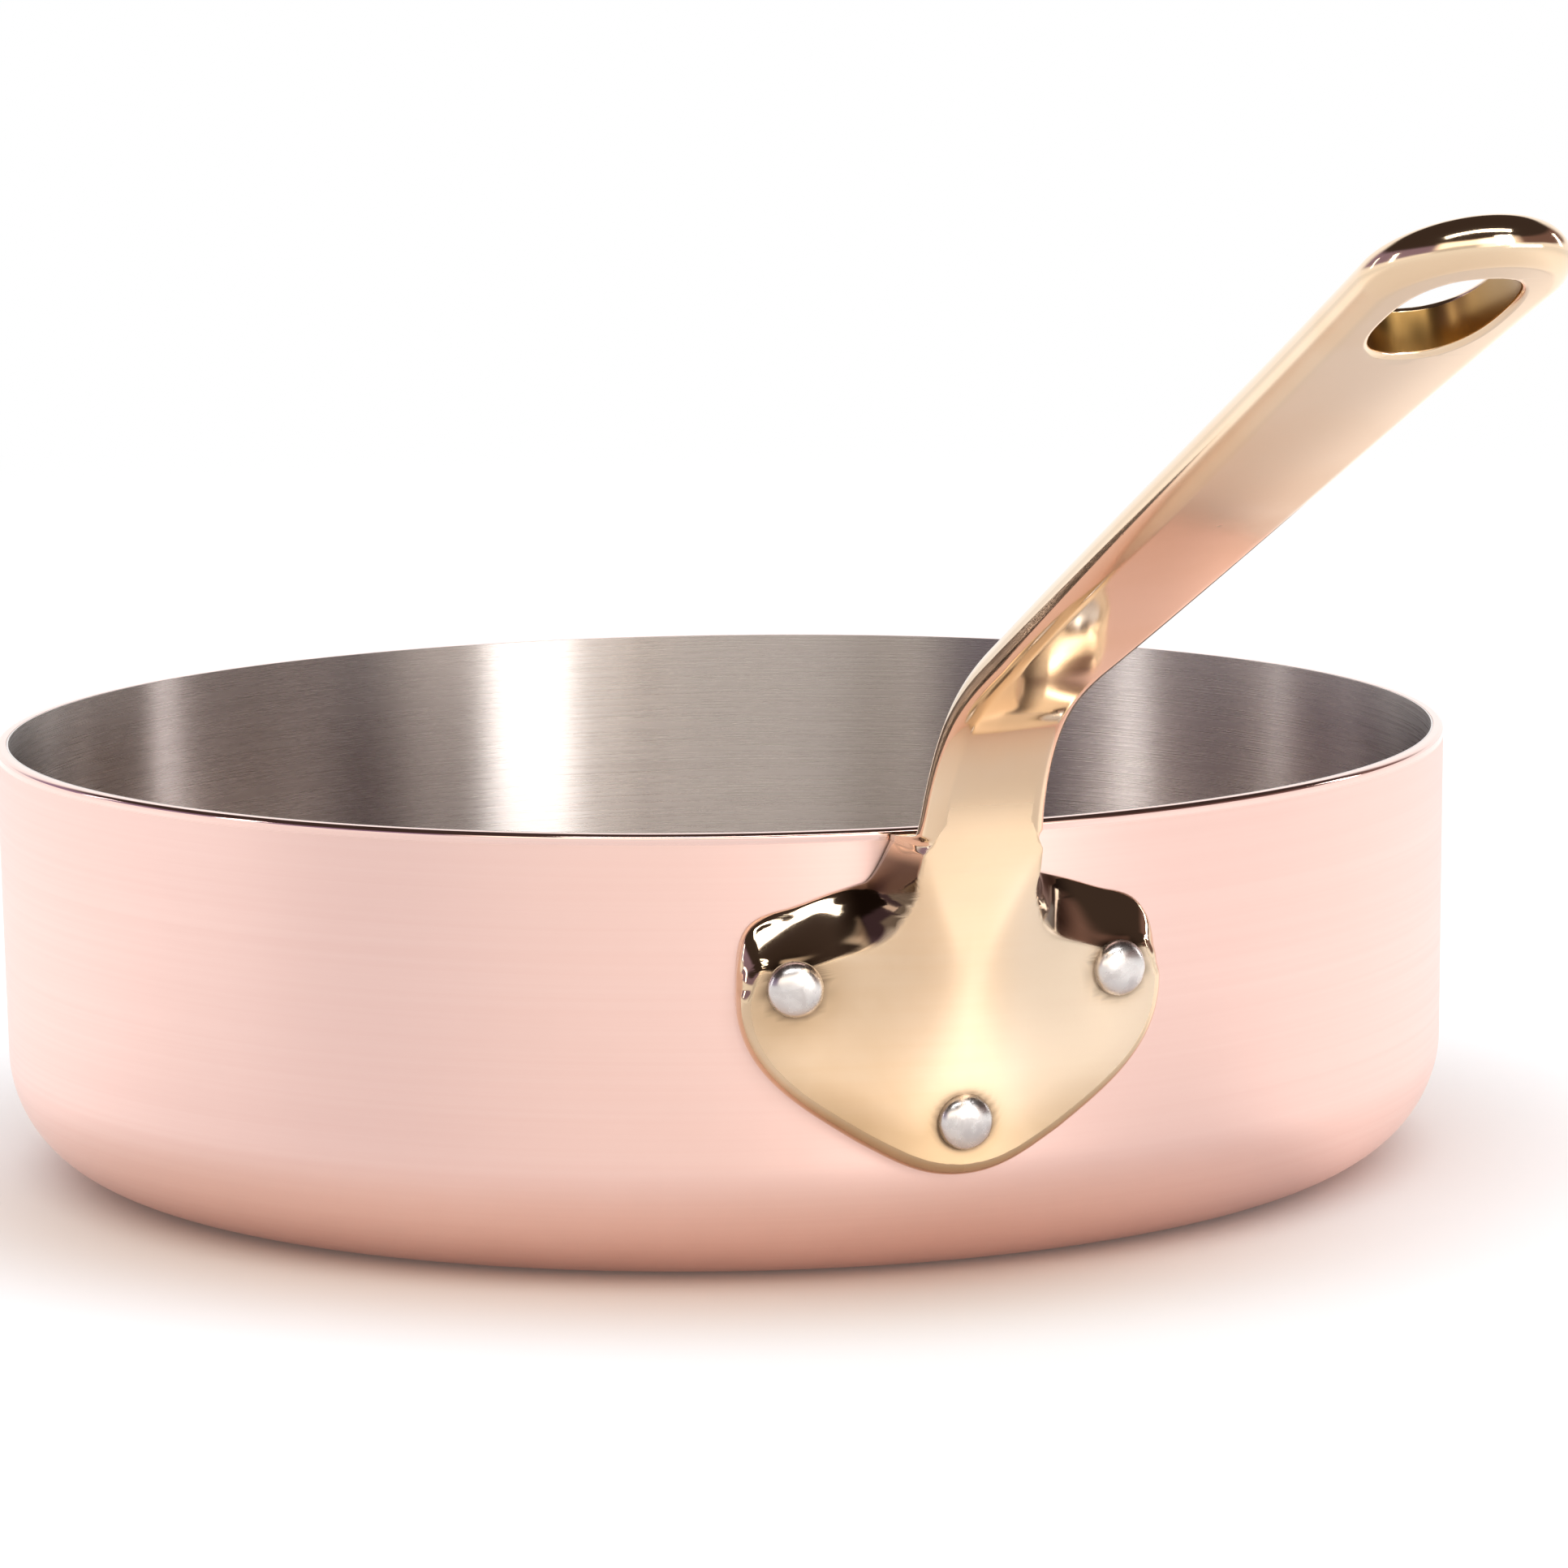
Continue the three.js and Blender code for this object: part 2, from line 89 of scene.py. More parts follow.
# %% [markdown]
# ## Small tools for node trees
# Geometry and material trees are both built from nodes joined by links. A few helpers keep the lesson
# short: one starts a tree with named inputs and outputs, one adds a node and either links or sets each
# of its inputs, and the others are sums that come up often.

# %% Node helpers
FLOAT, INTEGER, VECTOR = "NodeSocketFloat", "NodeSocketInt", "NodeSocketVector"
GEOMETRY, MATERIAL = "NodeSocketGeometry", "NodeSocketMaterial"
QUARTER_TURN, FULL_TURN = math.pi / 2, 2 * math.pi


def start_tree(name, kind, inputs, outputs):
    """A new node tree with named sockets, and its two end nodes."""
    tree = bpy.data.node_groups.new(name, kind)
    for in_out, sockets in (("INPUT", inputs), ("OUTPUT", outputs)):
        for label, socket_type in sockets:
            tree.interface.new_socket(label, in_out=in_out, socket_type=socket_type)
    return tree, tree.nodes.new("NodeGroupInput").outputs, tree.nodes.new("NodeGroupOutput").inputs


def add(tree, kind, inputs=None, **settings):
    """A node whose inputs are linked where a socket is given and set where a value is given."""
    node = tree.nodes.new(kind)
    for label, value in settings.items():
        setattr(node, label, value)
    for place, value in (inputs or {}).items():
        if isinstance(value, bpy.types.NodeSocket):
            tree.links.new(value, node.inputs[place])
        else:
            node.inputs[place].default_value = value
    return node


def calc(tree, operation, first, second=0.0):
    """The result of one sum in a tree."""
    return add(tree, "ShaderNodeMath", {0: first, 1: second}, operation=operation).outputs[0]


def clamp01(tree, value):
    """A value held between nought and one."""
    return add(tree, "ShaderNodeClamp", {"Value": value}).outputs[0]


def step_between(tree, value, ends):
    """A smooth step from nought to one between two ends."""
    return add(tree, "ShaderNodeMapRange", {
        "Value": value, "From Min": ends[0], "From Max": ends[1],
    }, interpolation_type="SMOOTHSTEP").outputs[0]


print("node helpers ready")

# %% [markdown]
# ## Finishes that several metals share
# Every metal here is marked by hand work. The sheets are brushed round the pan, the flange is brushed
# level, and all of it carries faint smears and a few pits. Each effect is one shader group, used in
# several materials with different values. A group gives out a mask or a height, never a shader.

# %% Brushing group


def brushing_group():
    """Long fine scratches: the vector is stretched first, so that they run along the brush's path."""
    tree, given, out = start_tree(
        "brushing", "ShaderNodeTree",
        [("Vector", VECTOR), ("Fineness", FLOAT), ("Break up", FLOAT)],
        [("Lines", FLOAT), ("Streaks", FLOAT)],
    )
    coarse = calc(tree, "MULTIPLY", given["Fineness"], given["Break up"])
    for label, scale, detail, roughness in (
        ("Lines", given["Fineness"], 3.0, 0.65), ("Streaks", coarse, 2.0, 0.5),
    ):
        noise = add(tree, "ShaderNodeTexNoise", {
            "Vector": given["Vector"], "Scale": scale, "Detail": detail, "Roughness": roughness,
        })
        tree.links.new(noise.outputs[0], out[label])
    return tree


brushing = brushing_group()
print("group:", brushing.name)

# %% Smear group
SMEAR_EDGE = 0.14


def smear_group():
    """Cloudy patches left by handling and wiping, from nought to one."""
    tree, given, out = start_tree(
        "smears", "ShaderNodeTree",
        [("Vector", VECTOR), ("Patches", FLOAT), ("Cover", FLOAT)],
        [("Mask", FLOAT)],
    )
    cloud = add(tree, "ShaderNodeTexNoise", {
        "Vector": given["Vector"], "Scale": given["Patches"], "Detail": 4.0, "Roughness": 0.55,
        "Distortion": 0.4,
    })
    edge = calc(tree, "SUBTRACT", 1.0, given["Cover"])
    ends = calc(tree, "SUBTRACT", edge, SMEAR_EDGE), calc(tree, "ADD", edge, SMEAR_EDGE)
    tree.links.new(step_between(tree, cloud.outputs[0], ends), out["Mask"])
    return tree


smears = smear_group()
print("group:", smears.name)

# %% Pit group
SMALLEST_PIT = 0.35


def pit_group():
    """A few small round pits: cells are scattered, and only some of them hold a pit."""
    tree, given, out = start_tree(
        "pits", "ShaderNodeTree",
        [("Vector", VECTOR), ("Spacing", FLOAT), ("Size", FLOAT), ("Share", FLOAT)],
        [("Mask", FLOAT)],
    )
    scale = calc(tree, "DIVIDE", 1.0, given["Spacing"])
    cells = add(tree, "ShaderNodeTexVoronoi", {"Vector": given["Vector"], "Scale": scale})
    reach = calc(tree, "MULTIPLY", cells.outputs["Distance"], given["Spacing"])
    pick = add(tree, "ShaderNodeSeparateColor", {0: cells.outputs["Color"]}).outputs
    chosen = calc(tree, "LESS_THAN", pick[0], given["Share"])
    radius = calc(tree, "MULTIPLY", given["Size"], calc(tree, "ADD", pick[1], SMALLEST_PIT))
    hollow = step_between(tree, reach, (radius, 0.0))
    tree.links.new(calc(tree, "MULTIPLY", hollow, chosen), out["Mask"])
    return tree


pits = pit_group()
print("group:", pits.name)

# %% Material helpers
POLISHED_BAND = (1.6, 0.9)


def new_material(name):
    """An empty material, its tree, and the place on the object that its finish reads."""
    material = bpy.data.materials.new(name)
    material.use_nodes = True
    tree = material.node_tree
    tree.nodes.clear()
    return material, tree, add(tree, "ShaderNodeTexCoord").outputs["Object"]


def finish_metal(material, colour, rough, relief, strength, depth, anisotropic=0.0, rotation=0.0):
    """Joins a metal's colour, roughness and relief to its shader, with the plain values set on it."""
    tree = material.node_tree
    bump = add(tree, "ShaderNodeBump", {"Height": relief, "Strength": strength, "Distance": depth * MM})
    shader = add(tree, "ShaderNodeBsdfPrincipled", {
        "Base Color": colour, "Roughness": rough, "Normal": bump.outputs[0], "Metallic": 1.0,
        "Anisotropic": anisotropic, "Anisotropic Rotation": rotation,
    })
    add(tree, "ShaderNodeOutputMaterial", {"Surface": shader.outputs[0]})
    return material


def use_group(tree, group, inputs):
    """The outputs of a group placed in a material."""
    return add(tree, "ShaderNodeGroup", inputs, node_tree=group).outputs


def attribute(tree, name):
    """A value that the mesh carries."""
    return add(tree, "ShaderNodeAttribute", attribute_name=name).outputs["Fac"]


def vector_calc(tree, operation, first, second=(0, 0, 0)):
    """The outputs of a node that works on whole vectors."""
    return add(tree, "ShaderNodeVectorMath", {0: first, 1: second}, operation=operation).outputs


def blend(tree, factor, first, second):
    """A number between two numbers."""
    return add(tree, "ShaderNodeMix", {0: factor, 2: first, 3: second}).outputs[0]


def blend_colour(tree, factor, first, second, how="MIX"):
    """A colour between two colours, or their sum or product when they are added or multiplied."""
    one, other = (end if isinstance(end, bpy.types.NodeSocket) else (*end, 1) for end in (first, second))
    inputs = {0: factor, 6: one, 7: other}
    return add(tree, "ShaderNodeMix", inputs, data_type="RGBA", blend_type=how).outputs[2]


def fade(tree, value, ends, first, second):
    """A colour that goes from the first to the second as a value goes from one end to the other."""
    return blend_colour(tree, step_between(tree, value, ends), first, second)


def spread(tree, value, low, high):
    """A value from nought to one, spread from low to high."""
    return add(tree, "ShaderNodeMapRange", {"Value": value, "To Min": low, "To Max": high}).outputs[0]


def pointing(tree, vector, heading):
    """How closely a vector, laid level, points along a heading: one when it does."""
    level = vector_calc(tree, "MULTIPLY", vector, (1, 1, 0))[0]
    unit = vector_calc(tree, "NORMALIZE", level)[0]
    return vector_calc(tree, "DOT_PRODUCT", unit, heading)["Value"]


def rim_mask(tree):
    """One on the cut and polished rim of a turned sheet, from its distance to the end of the line."""
    line = corner_centre + CORNER_RADIUS * (QUARTER_TURN - wall_lean) + (PAN_HEIGHT - CORNER_RADIUS)
    return step_between(tree, attribute(tree, "turning"), [(line - inset) * MM for inset in POLISHED_BAND])


def turned_vector(tree, place, along, across):
    """Object coordinates squeezed along the turning and stretched across it, for brush lines."""
    split = add(tree, "ShaderNodeSeparateXYZ", {0: place}).outputs
    return add(tree, "ShaderNodeCombineXYZ", {
        0: calc(tree, "MULTIPLY", split[0], along),
        1: calc(tree, "MULTIPLY", split[1], along),
        2: calc(tree, "MULTIPLY", attribute(tree, "turning"), across),
    }).outputs[0]


print("material helpers ready")

# %% [markdown]
# ## Copper
# The outside is satin copper: pale, pink and brushed so finely round the pan that the lines only show
# close up. A mirror finish would show the room. A fairly rough metal, stretched by anisotropy along the
# brushing, gives the soft upright glow of the real one.

# %% Copper material
COPPER, COPPER_PALE = (0.93, 0.655, 0.585), (0.95, 0.69, 0.625)
COPPER_STREAK, COPPER_PIT = (0.88, 0.585, 0.52), (0.3, 0.14, 0.1)
COPPER_RIM, COPPER_RIM_WORN = (0.88, 0.64, 0.57), (0.83, 0.57, 0.49)
EDGE_ROUGHNESS = 0.1


def copper_material():
    material, tree, place = new_material("brushed_copper")
    lines = use_group(tree, brushing, {
        "Vector": turned_vector(tree, place, along=5.0, across=1000.0), "Fineness": 4.5, "Break up": 0.3,
    })
    cloud = use_group(tree, smears, {"Vector": place, "Patches": 9.0, "Cover": 0.5})["Mask"]
    marks = use_group(tree, pits, {"Vector": place, "Spacing": 0.03, "Size": 0.0005, "Share": 0.12})["Mask"]
    warm = blend_colour(tree, cloud, COPPER, COPPER_PALE)
    streaked = blend_colour(tree, spread(tree, lines["Streaks"], -0.15, 0.35), warm, COPPER_STREAK)
    spotted = blend_colour(tree, marks, streaked, COPPER_PIT)
    rough = calc(tree, "ADD", spread(tree, lines["Streaks"], 0.3, 0.38), spread(tree, cloud, 0.0, 0.03))
    edge_rough = blend(tree, rim_mask(tree), rough, EDGE_ROUGHNESS)
    relief = calc(tree, "SUBTRACT", lines["Lines"], marks)
    return finish_metal(material, spotted, edge_rough, relief, strength=0.18, depth=0.03,
                        anisotropic=0.45, rotation=0.25)


def rim_material():
    material, tree, place = new_material("polished_rim")
    cloud = use_group(tree, smears, {"Vector": place, "Patches": 30.0, "Cover": 0.5})["Mask"]
    colour = blend_colour(tree, cloud, COPPER_RIM, COPPER_RIM_WORN)
    rough = spread(tree, cloud, 0.05, 0.09)
    return finish_metal(material, colour, rough, cloud, strength=0.1, depth=0.02)


copper = copper_material()
polished_rim = rim_material()
print("materials:", copper.name, polished_rim.name)

# %% [markdown]
# ## Steel lining
# The lining is brushed stainless steel. The brush went round and round, so a lamp is drawn out into an
# upright streak down the wall, like the grooves of a record. Anisotropy turned a quarter round gives
# those streaks, and visible scratches give the grain inside them. On one stretch of the wall the colour
# is multiplied darker: that is painted shade.

# %% Lining material
STEEL, STEEL_STREAK = (0.70, 0.655, 0.63), (0.63, 0.585, 0.56)
# The first of these is wear; the second is painted shade, multiplied onto one stretch of the wall
STEEL_WORN, STEEL_PAINTED_SHADE = (0.58, 0.54, 0.53), (0.72, 0.69, 0.69)
PAINTED_SHADE_TURN = math.radians(-149)
PAINTED_SHADE_SPREAD = (0.96, 0.99)
PAINTED_SHADE_REACH = (0.09, 0.11)


def lining_material():
    material, tree, place = new_material("brushed_lining")
    lines = use_group(tree, brushing, {
        "Vector": turned_vector(tree, place, along=9.0, across=1000.0), "Fineness": 3.2, "Break up": 0.25,
    })
    cloud = use_group(tree, smears, {"Vector": place, "Patches": 14.0, "Cover": 0.45})["Mask"]
    base = blend_colour(tree, lines["Streaks"], STEEL, STEEL_STREAK)
    worn = blend_colour(tree, spread(tree, cloud, 0.0, 0.3), base, STEEL_WORN)
    # Painted shade: the wall's colour is multiplied darker on one stretch round the pan
    heading = pointing(tree, place, (math.cos(PAINTED_SHADE_TURN), math.sin(PAINTED_SHADE_TURN), 0))
    away = vector_calc(tree, "LENGTH", vector_calc(tree, "MULTIPLY", place, (1, 1, 0))[0])["Value"]
    on_wall = step_between(tree, away, PAINTED_SHADE_REACH)
    steel_shade = calc(tree, "MULTIPLY", step_between(tree, heading, PAINTED_SHADE_SPREAD), on_wall)
    shaded_steel = blend_colour(tree, steel_shade, worn, STEEL_PAINTED_SHADE, "MULTIPLY")
    rough = spread(tree, lines["Lines"], 0.22, 0.33)
    return finish_metal(material, shaded_steel, rough, lines["Lines"], strength=0.4, depth=0.04,
                        anisotropic=1.0, rotation=0.25)


lining = lining_material()
print("material:", lining.name)

# %% [markdown]
# ## Brass
# The casting was polished bright, then its flat front was finished level with a fine belt. So the front
# of the flange is satin with level lines, and the shoulders, the bend and the edges stay glossy. The
# mesh carries a value, ground, that says where the belt went. Small casting pits are left here and there.

# %% Brass material
GOLD, GOLD_DEEP = (0.875, 0.69, 0.50), (0.85, 0.645, 0.44)
BELTED, BELTED_DEEP = (0.90, 0.72, 0.53), (0.875, 0.675, 0.465)
# The second colour is painted light: a paler tone laid on the right half of the belted face
BELT_STREAK, PAINTED_LIGHT_TONE = (0.85, 0.62, 0.39), (0.97, 0.84, 0.68)
# The first is painted shade inside the eye; the second is the tone of the stains and of the painted shade at
# the tip
EYE_PAINTED_SHADE, STAIN_AND_SHADE_TONE = (0.38, 0.22, 0.07), (0.55, 0.39, 0.235)
# The first is painted shade on the slopes beside the neck, and also the thin dark ring at each rivet head
DARK_SHADE_AND_RINGS, BRASS_PIT = (0.13, 0.085, 0.055), (0.25, 0.14, 0.06)
LEVEL_STRETCH = (40.0, 40.0, 1500.0)
EYE_ROUGHNESS = 0.3


def brass_material(name, anisotropic, rotation):
    material, tree, place = new_material(name)
    ground, inside, right_painted_light, stain_and_tip_shade, neck_shade_and_rings = (
        attribute(tree, label) for label in ("ground", "eye_wall", "right_painted_light", "stain_and_tip_shade", "neck_shade_and_rings")
    )
    level = vector_calc(tree, "MULTIPLY", place, LEVEL_STRETCH)[0]
    lines = use_group(tree, brushing, {"Vector": level, "Fineness": 1.6, "Break up": 0.25})
    cloud = use_group(tree, smears, {"Vector": place, "Patches": 26.0, "Cover": 0.45})["Mask"]
    marks = use_group(tree, pits, {"Vector": place, "Spacing": 0.009, "Size": 0.0004, "Share": 0.16})["Mask"]
    gold = blend_colour(tree, cloud, GOLD, GOLD_DEEP)
    belted = blend_colour(tree, ground, gold, blend_colour(tree, cloud, BELTED, BELTED_DEEP))
    streak = clamp01(tree, calc(tree, "MULTIPLY", ground, spread(tree, lines["Streaks"], -0.2, 0.5)))
    # Stains, and the painted shade at the tip, broken up by the smears
    blotchy = clamp01(tree, calc(tree, "MULTIPLY", stain_and_tip_shade, spread(tree, cloud, 0.65, 1.0)))
    colour = belted
    # Stains and pits are the brass's own marks; the eye's dark tone, the darkened tip and the dark neck
    # slopes are painted shade, and the pale tone on the right half is painted light
    for share, tone in (
        (streak, BELT_STREAK), (right_painted_light, PAINTED_LIGHT_TONE), (inside, EYE_PAINTED_SHADE),
        (blotchy, STAIN_AND_SHADE_TONE), (neck_shade_and_rings, DARK_SHADE_AND_RINGS), (marks, BRASS_PIT),
    ):
        colour = blend_colour(tree, share, colour, tone)
    polished = spread(tree, cloud, 0.06, 0.11)
    satin = spread(tree, lines["Streaks"], 0.33, 0.43)
    rough = blend(tree, inside, blend(tree, ground, polished, satin), EYE_ROUGHNESS)
    grooves = calc(tree, "MULTIPLY", calc(tree, "MULTIPLY", lines["Lines"], ground), 0.5)
    relief = calc(tree, "SUBTRACT", grooves, marks)
    return finish_metal(material, colour, rough, relief, strength=0.3, depth=0.06,
                        anisotropic=anisotropic, rotation=rotation)


polished_brass = brass_material("polished_brass", anisotropic=0.0, rotation=0.0)
brushed_brass = brass_material("brushed_brass", anisotropic=0.95, rotation=0.25)
print("materials:", polished_brass.name, brushed_brass.name)

# %% [markdown]
# ## Rivet steel
# The rivets are plain pale steel. The hammer leaves the dome a little mottled, and the polish that the
# brass got has dulled on them.

# %% Rivet material
RIVET_STEEL, RIVET_PALE = (0.68, 0.645, 0.63), (0.77, 0.745, 0.73)


def rivet_material():
    material, tree, place = new_material("rivet_steel")
    cloud = use_group(tree, smears, {"Vector": place, "Patches": 420.0, "Cover": 0.5})["Mask"]
    dents = use_group(tree, pits, {"Vector": place, "Spacing": 0.0012, "Size": 0.0006, "Share": 0.5})["Mask"]
    colour = blend_colour(tree, cloud, RIVET_STEEL, RIVET_PALE)
    relief = calc(tree, "SUBTRACT", cloud, dents)
    rough = spread(tree, cloud, 0.22, 0.30)
    return finish_metal(material, colour, rough, relief, strength=0.25, depth=0.04)


rivet_steel = rivet_material()
print("material:", rivet_steel.name)

# %% [markdown]
# ## The two turned shells
# A lathe or a screw modifier could turn the line, but both sheets follow one rule, so one geometry tree
# makes them. A flat grid is rolled up: one side of the grid is the distance along the line, from the
# middle of the base to the rim, and the other is the turn. The sum of a clamped flat, a clamped corner
# and what is left for the wall gives the radius and the height at each distance.

# %% Helpers for geometry trees
SEAM = 0.002 * MM


def unit_grid(tree, steps_x, steps_y):
    """A flat grid and, for each of its points, the share of the way along its two sides."""
    grid = add(tree, "GeometryNodeMeshGrid", {
        "Size X": 1.0, "Size Y": 1.0, "Vertices X": steps_x, "Vertices Y": steps_y,
    }).outputs
    return grid["Mesh"], add(tree, "ShaderNodeSeparateXYZ", {0: grid["UV Map"]}).outputs


def roll_up(tree, mesh, radius, height, turn_share):
    """A grid rolled about the upright axis and closed along its seam."""
    turn = calc(tree, "MULTIPLY", turn_share, FULL_TURN)
    place = add(tree, "ShaderNodeCombineXYZ", {
        0: calc(tree, "MULTIPLY", radius, calc(tree, "COSINE", turn)),
        1: calc(tree, "MULTIPLY", radius, calc(tree, "SINE", turn)),
        2: height,
    })
    rolled = add(tree, "GeometryNodeSetPosition", {"Geometry": mesh, "Position": place.outputs[0]})
    closed = add(tree, "GeometryNodeMergeByDistance", {"Geometry": rolled.outputs[0], "Distance": SEAM})
    return closed.outputs[0]


def finish_tree(tree, geometry, metal, out):
    """Shades a shape smooth, makes its copies real, gives it its metal and sends it out."""
    soft = add(tree, "GeometryNodeSetShadeSmooth", {"Geometry": geometry})
    real = add(tree, "GeometryNodeRealizeInstances", {"Geometry": soft.outputs[0]})
    finished = add(tree, "GeometryNodeSetMaterial", {"Geometry": real.outputs[0], "Material": metal})
    tree.links.new(finished.outputs[0], out["Geometry"])


print("geometry helpers ready")

# %% Tree of a turned sheet


def turned_sheet_tree():
    """Rolls a grid into a pan-shaped sheet, facing outwards, and keeps the distance along its line."""
    tree, given, out = start_tree(
        "turned sheet", "GeometryNodeTree",
        [
            ("Geometry", GEOMETRY), ("Flat radius", FLOAT), ("Corner radius", FLOAT),
            ("Wall length", FLOAT), ("Wall lean", FLOAT), ("Lift", FLOAT),
            ("Steps along", INTEGER), ("Steps around", INTEGER), ("Metal", MATERIAL),
        ],
        [("Geometry", GEOMETRY)],
    )
    flat, corner, lean = given["Flat radius"], given["Corner radius"], given["Wall lean"]
    grid, place = unit_grid(tree, given["Steps along"], given["Steps around"])
    corner_turn = calc(tree, "SUBTRACT", QUARTER_TURN, lean)
    before_wall = calc(tree, "ADD", flat, calc(tree, "MULTIPLY", corner, corner_turn))
    distance = calc(tree, "MULTIPLY", place[0], calc(tree, "ADD", before_wall, given["Wall length"]))
    past_flat = calc(tree, "MAXIMUM", calc(tree, "SUBTRACT", distance, flat), 0.0)
    angle = calc(tree, "MINIMUM", calc(tree, "DIVIDE", past_flat, corner), corner_turn)
    up_wall = calc(tree, "MAXIMUM", calc(tree, "SUBTRACT", distance, before_wall), 0.0)

    round_out = calc(tree, "MULTIPLY", corner, calc(tree, "SINE", angle))
    lean_out = calc(tree, "MULTIPLY", up_wall, calc(tree, "SINE", lean))
    radius = calc(tree, "ADD", calc(tree, "MINIMUM", distance, flat), calc(tree, "ADD", round_out, lean_out))
    round_up = calc(tree, "MULTIPLY", corner, calc(tree, "SUBTRACT", 1.0, calc(tree, "COSINE", angle)))
    lean_up = calc(tree, "MULTIPLY", up_wall, calc(tree, "COSINE", lean))
    height = calc(tree, "ADD", given["Lift"], calc(tree, "ADD", round_up, lean_up))
    marked = add(tree, "GeometryNodeStoreNamedAttribute", {
        "Geometry": grid, "Name": "turning", "Value": distance,
    }, data_type="FLOAT", domain="POINT")
    closed = roll_up(tree, marked.outputs[0], radius, height, place[1])
    outward = add(tree, "GeometryNodeFlipFaces", {"Mesh": closed})
    finish_tree(tree, outward.outputs[0], given["Metal"], out)
    return tree


turned_sheet = turned_sheet_tree()
print("tree:", turned_sheet.name, len(turned_sheet.nodes), "nodes")

# %% Helpers for pieces made by trees


def add_tree(piece, tree, values):
    """A geometry tree on a piece, with its inputs set by their identifiers."""
    modifier = piece.modifiers.new(tree.name, "NODES")
    modifier.node_group = tree
    for socket in tree.interface.items_tree:
        if socket.in_out == "INPUT" and socket.name in values:
            modifier[socket.identifier] = values[socket.name]


def new_piece(name, mesh=None):
    """An object at the origin, with its place kept in its mesh."""
    piece = bpy.data.objects.new(name, mesh or bpy.data.meshes.new(name))
    scene.collection.objects.link(piece)
    return piece


def make_plain(piece):
    """The evaluated shape becomes the piece's own mesh, and its modifiers go."""
    ready = piece.evaluated_get(bpy.context.evaluated_depsgraph_get())
    mesh = bpy.data.meshes.new_from_object(ready)
    piece.modifiers.clear()
    piece.data = mesh
    mesh.name = piece.name


def count_triangles(piece):
    """How many triangles a piece has."""
    piece.data.calc_loop_triangles()
    return len(piece.data.loop_triangles)


print("piece helpers ready")

# %% [markdown]
# ## From sheet to wall
# The tree gives a sheet with no thickness. A Solidify modifier adds the metal inwards, and a small bevel
# rounds the outer edge of the cut rim: that edge is the thin dark line under the bright top of the real
# rim. The lining is the same sheet, set in by the thickness of the copper.

# %% Copper shell and steel lining
STEPS_ALONG = 150
STEPS_AROUND = 289
RIM_BEVEL_STEPS = 6
SHARP_EDGE = math.radians(60)
TOUCH = 0.01


def round_rim(piece, edge_round, edge_metal):
    """Rounds the outer edge of a sheet's cut rim, and leaves the inner edge sharp."""
    piece.data.materials.append(edge_metal)
    shape = bmesh.new()
    shape.from_mesh(piece.data)
    rim = [line for line in shape.edges if line.calc_face_angle(0.0) > SHARP_EDGE]
    middle = sum(line.verts[0].co.xy.length for line in rim) / len(rim)
    outer = [line for line in rim if line.verts[0].co.xy.length > middle]
    for line in rim:
        line.smooth = line in outer
    bmesh.ops.bevel(shape, geom=outer, offset=edge_round * MM, segments=RIM_BEVEL_STEPS, profile=0.5,
                    affect="EDGES", material=1)
    for facet in shape.faces:
        facet.smooth = True
    shape.to_mesh(piece.data)
    shape.free()


def shell_piece(name, inset, thickness, edge_round, metal, edge_metal):
    """One turned sheet of the pan, its outer face set in from the outside of the wall."""
    piece = new_piece(name)
    top = PAN_HEIGHT - CORNER_RADIUS + (CORNER_RADIUS - inset) * math.sin(wall_lean)
    add_tree(piece, turned_sheet, {
        "Flat radius": corner_centre * MM,
        "Corner radius": (CORNER_RADIUS - inset) * MM,
        "Wall length": top / math.cos(wall_lean) * MM,
        "Wall lean": wall_lean,
        "Lift": inset * MM,
        "Steps along": STEPS_ALONG,
        "Steps around": STEPS_AROUND,
        "Metal": metal,
    })
    wall = piece.modifiers.new("wall", "SOLIDIFY")
    wall.thickness = thickness * MM
    wall.offset = -1.0
    wall.use_even_offset = True
    make_plain(piece)
    round_rim(piece, edge_round, edge_metal)
    return piece


lining_inset = COPPER_WALL + BOND_GAP
copper_shell = shell_piece("copper_shell", 0.0, lining_inset - TOUCH, RIM_EDGE_ROUND, copper, polished_rim)
steel_sheet = shell_piece("steel_sheet", lining_inset, LINING_WALL, LINING_WALL / 3, lining, lining)
for piece in (copper_shell, steel_sheet):
    print(piece.name, count_triangles(piece), "triangles")

# %% [markdown]
# ## The cast handle
# The handle is one casting that changes all the way along: a shield on the wall, two sloping shoulders,
# a neck, a bend and a tapering arm with an eye to hang it by. No primitive is near it. It is lofted: a
# flat outline says how wide it is, a front line says where its face runs, and a rule for the depth gives
# the rounded edges. Sizes are in millimetres; a run is a distance along the front line from the tip.

# %% Sizes of the handle
FLANGE_TIP_HEIGHT = 17.7
FLANGE_HALF_WIDTH = 33.6
FLANGE_SIDE_SHARE = 0.68
TIP_PULL, DIAGONAL_LEAD, DIAGONAL = (0.19, 0), (0.31, 0.1), (0.47, 0.21)
DIAGONAL_PULL, SIDE_LEAD = (0.72, 0.41), (1, 0.6)
EAR_DROP = 11.8
EAR_HALF_WIDTH = 26.5
EAR_CORNER_SIDE = 9.5
EAR_CORNER_TOP, EAR_CORNER_DIP = 6.4, 1.4
FLANGE_THICKNESS = 5.0
FLANGE_EDGE_ROUND = 2.2
FLANGE_EDGE_DEPTH = 3.4
SHOULDER_ROUND = 9.0
SHOULDER_DEPTH = 20.0
SHOULDER_CREASE = 0.85
SHOULDER_MIDDLE = (18.3, 2.6)
SHOULDER_END = (14.2, 3.8)
SHOULDER_LEAD, SHOULDER_PULL = 0.4, 0.65
ROOT_ROUND = 5.6
ROOT_CREASE = 0.8
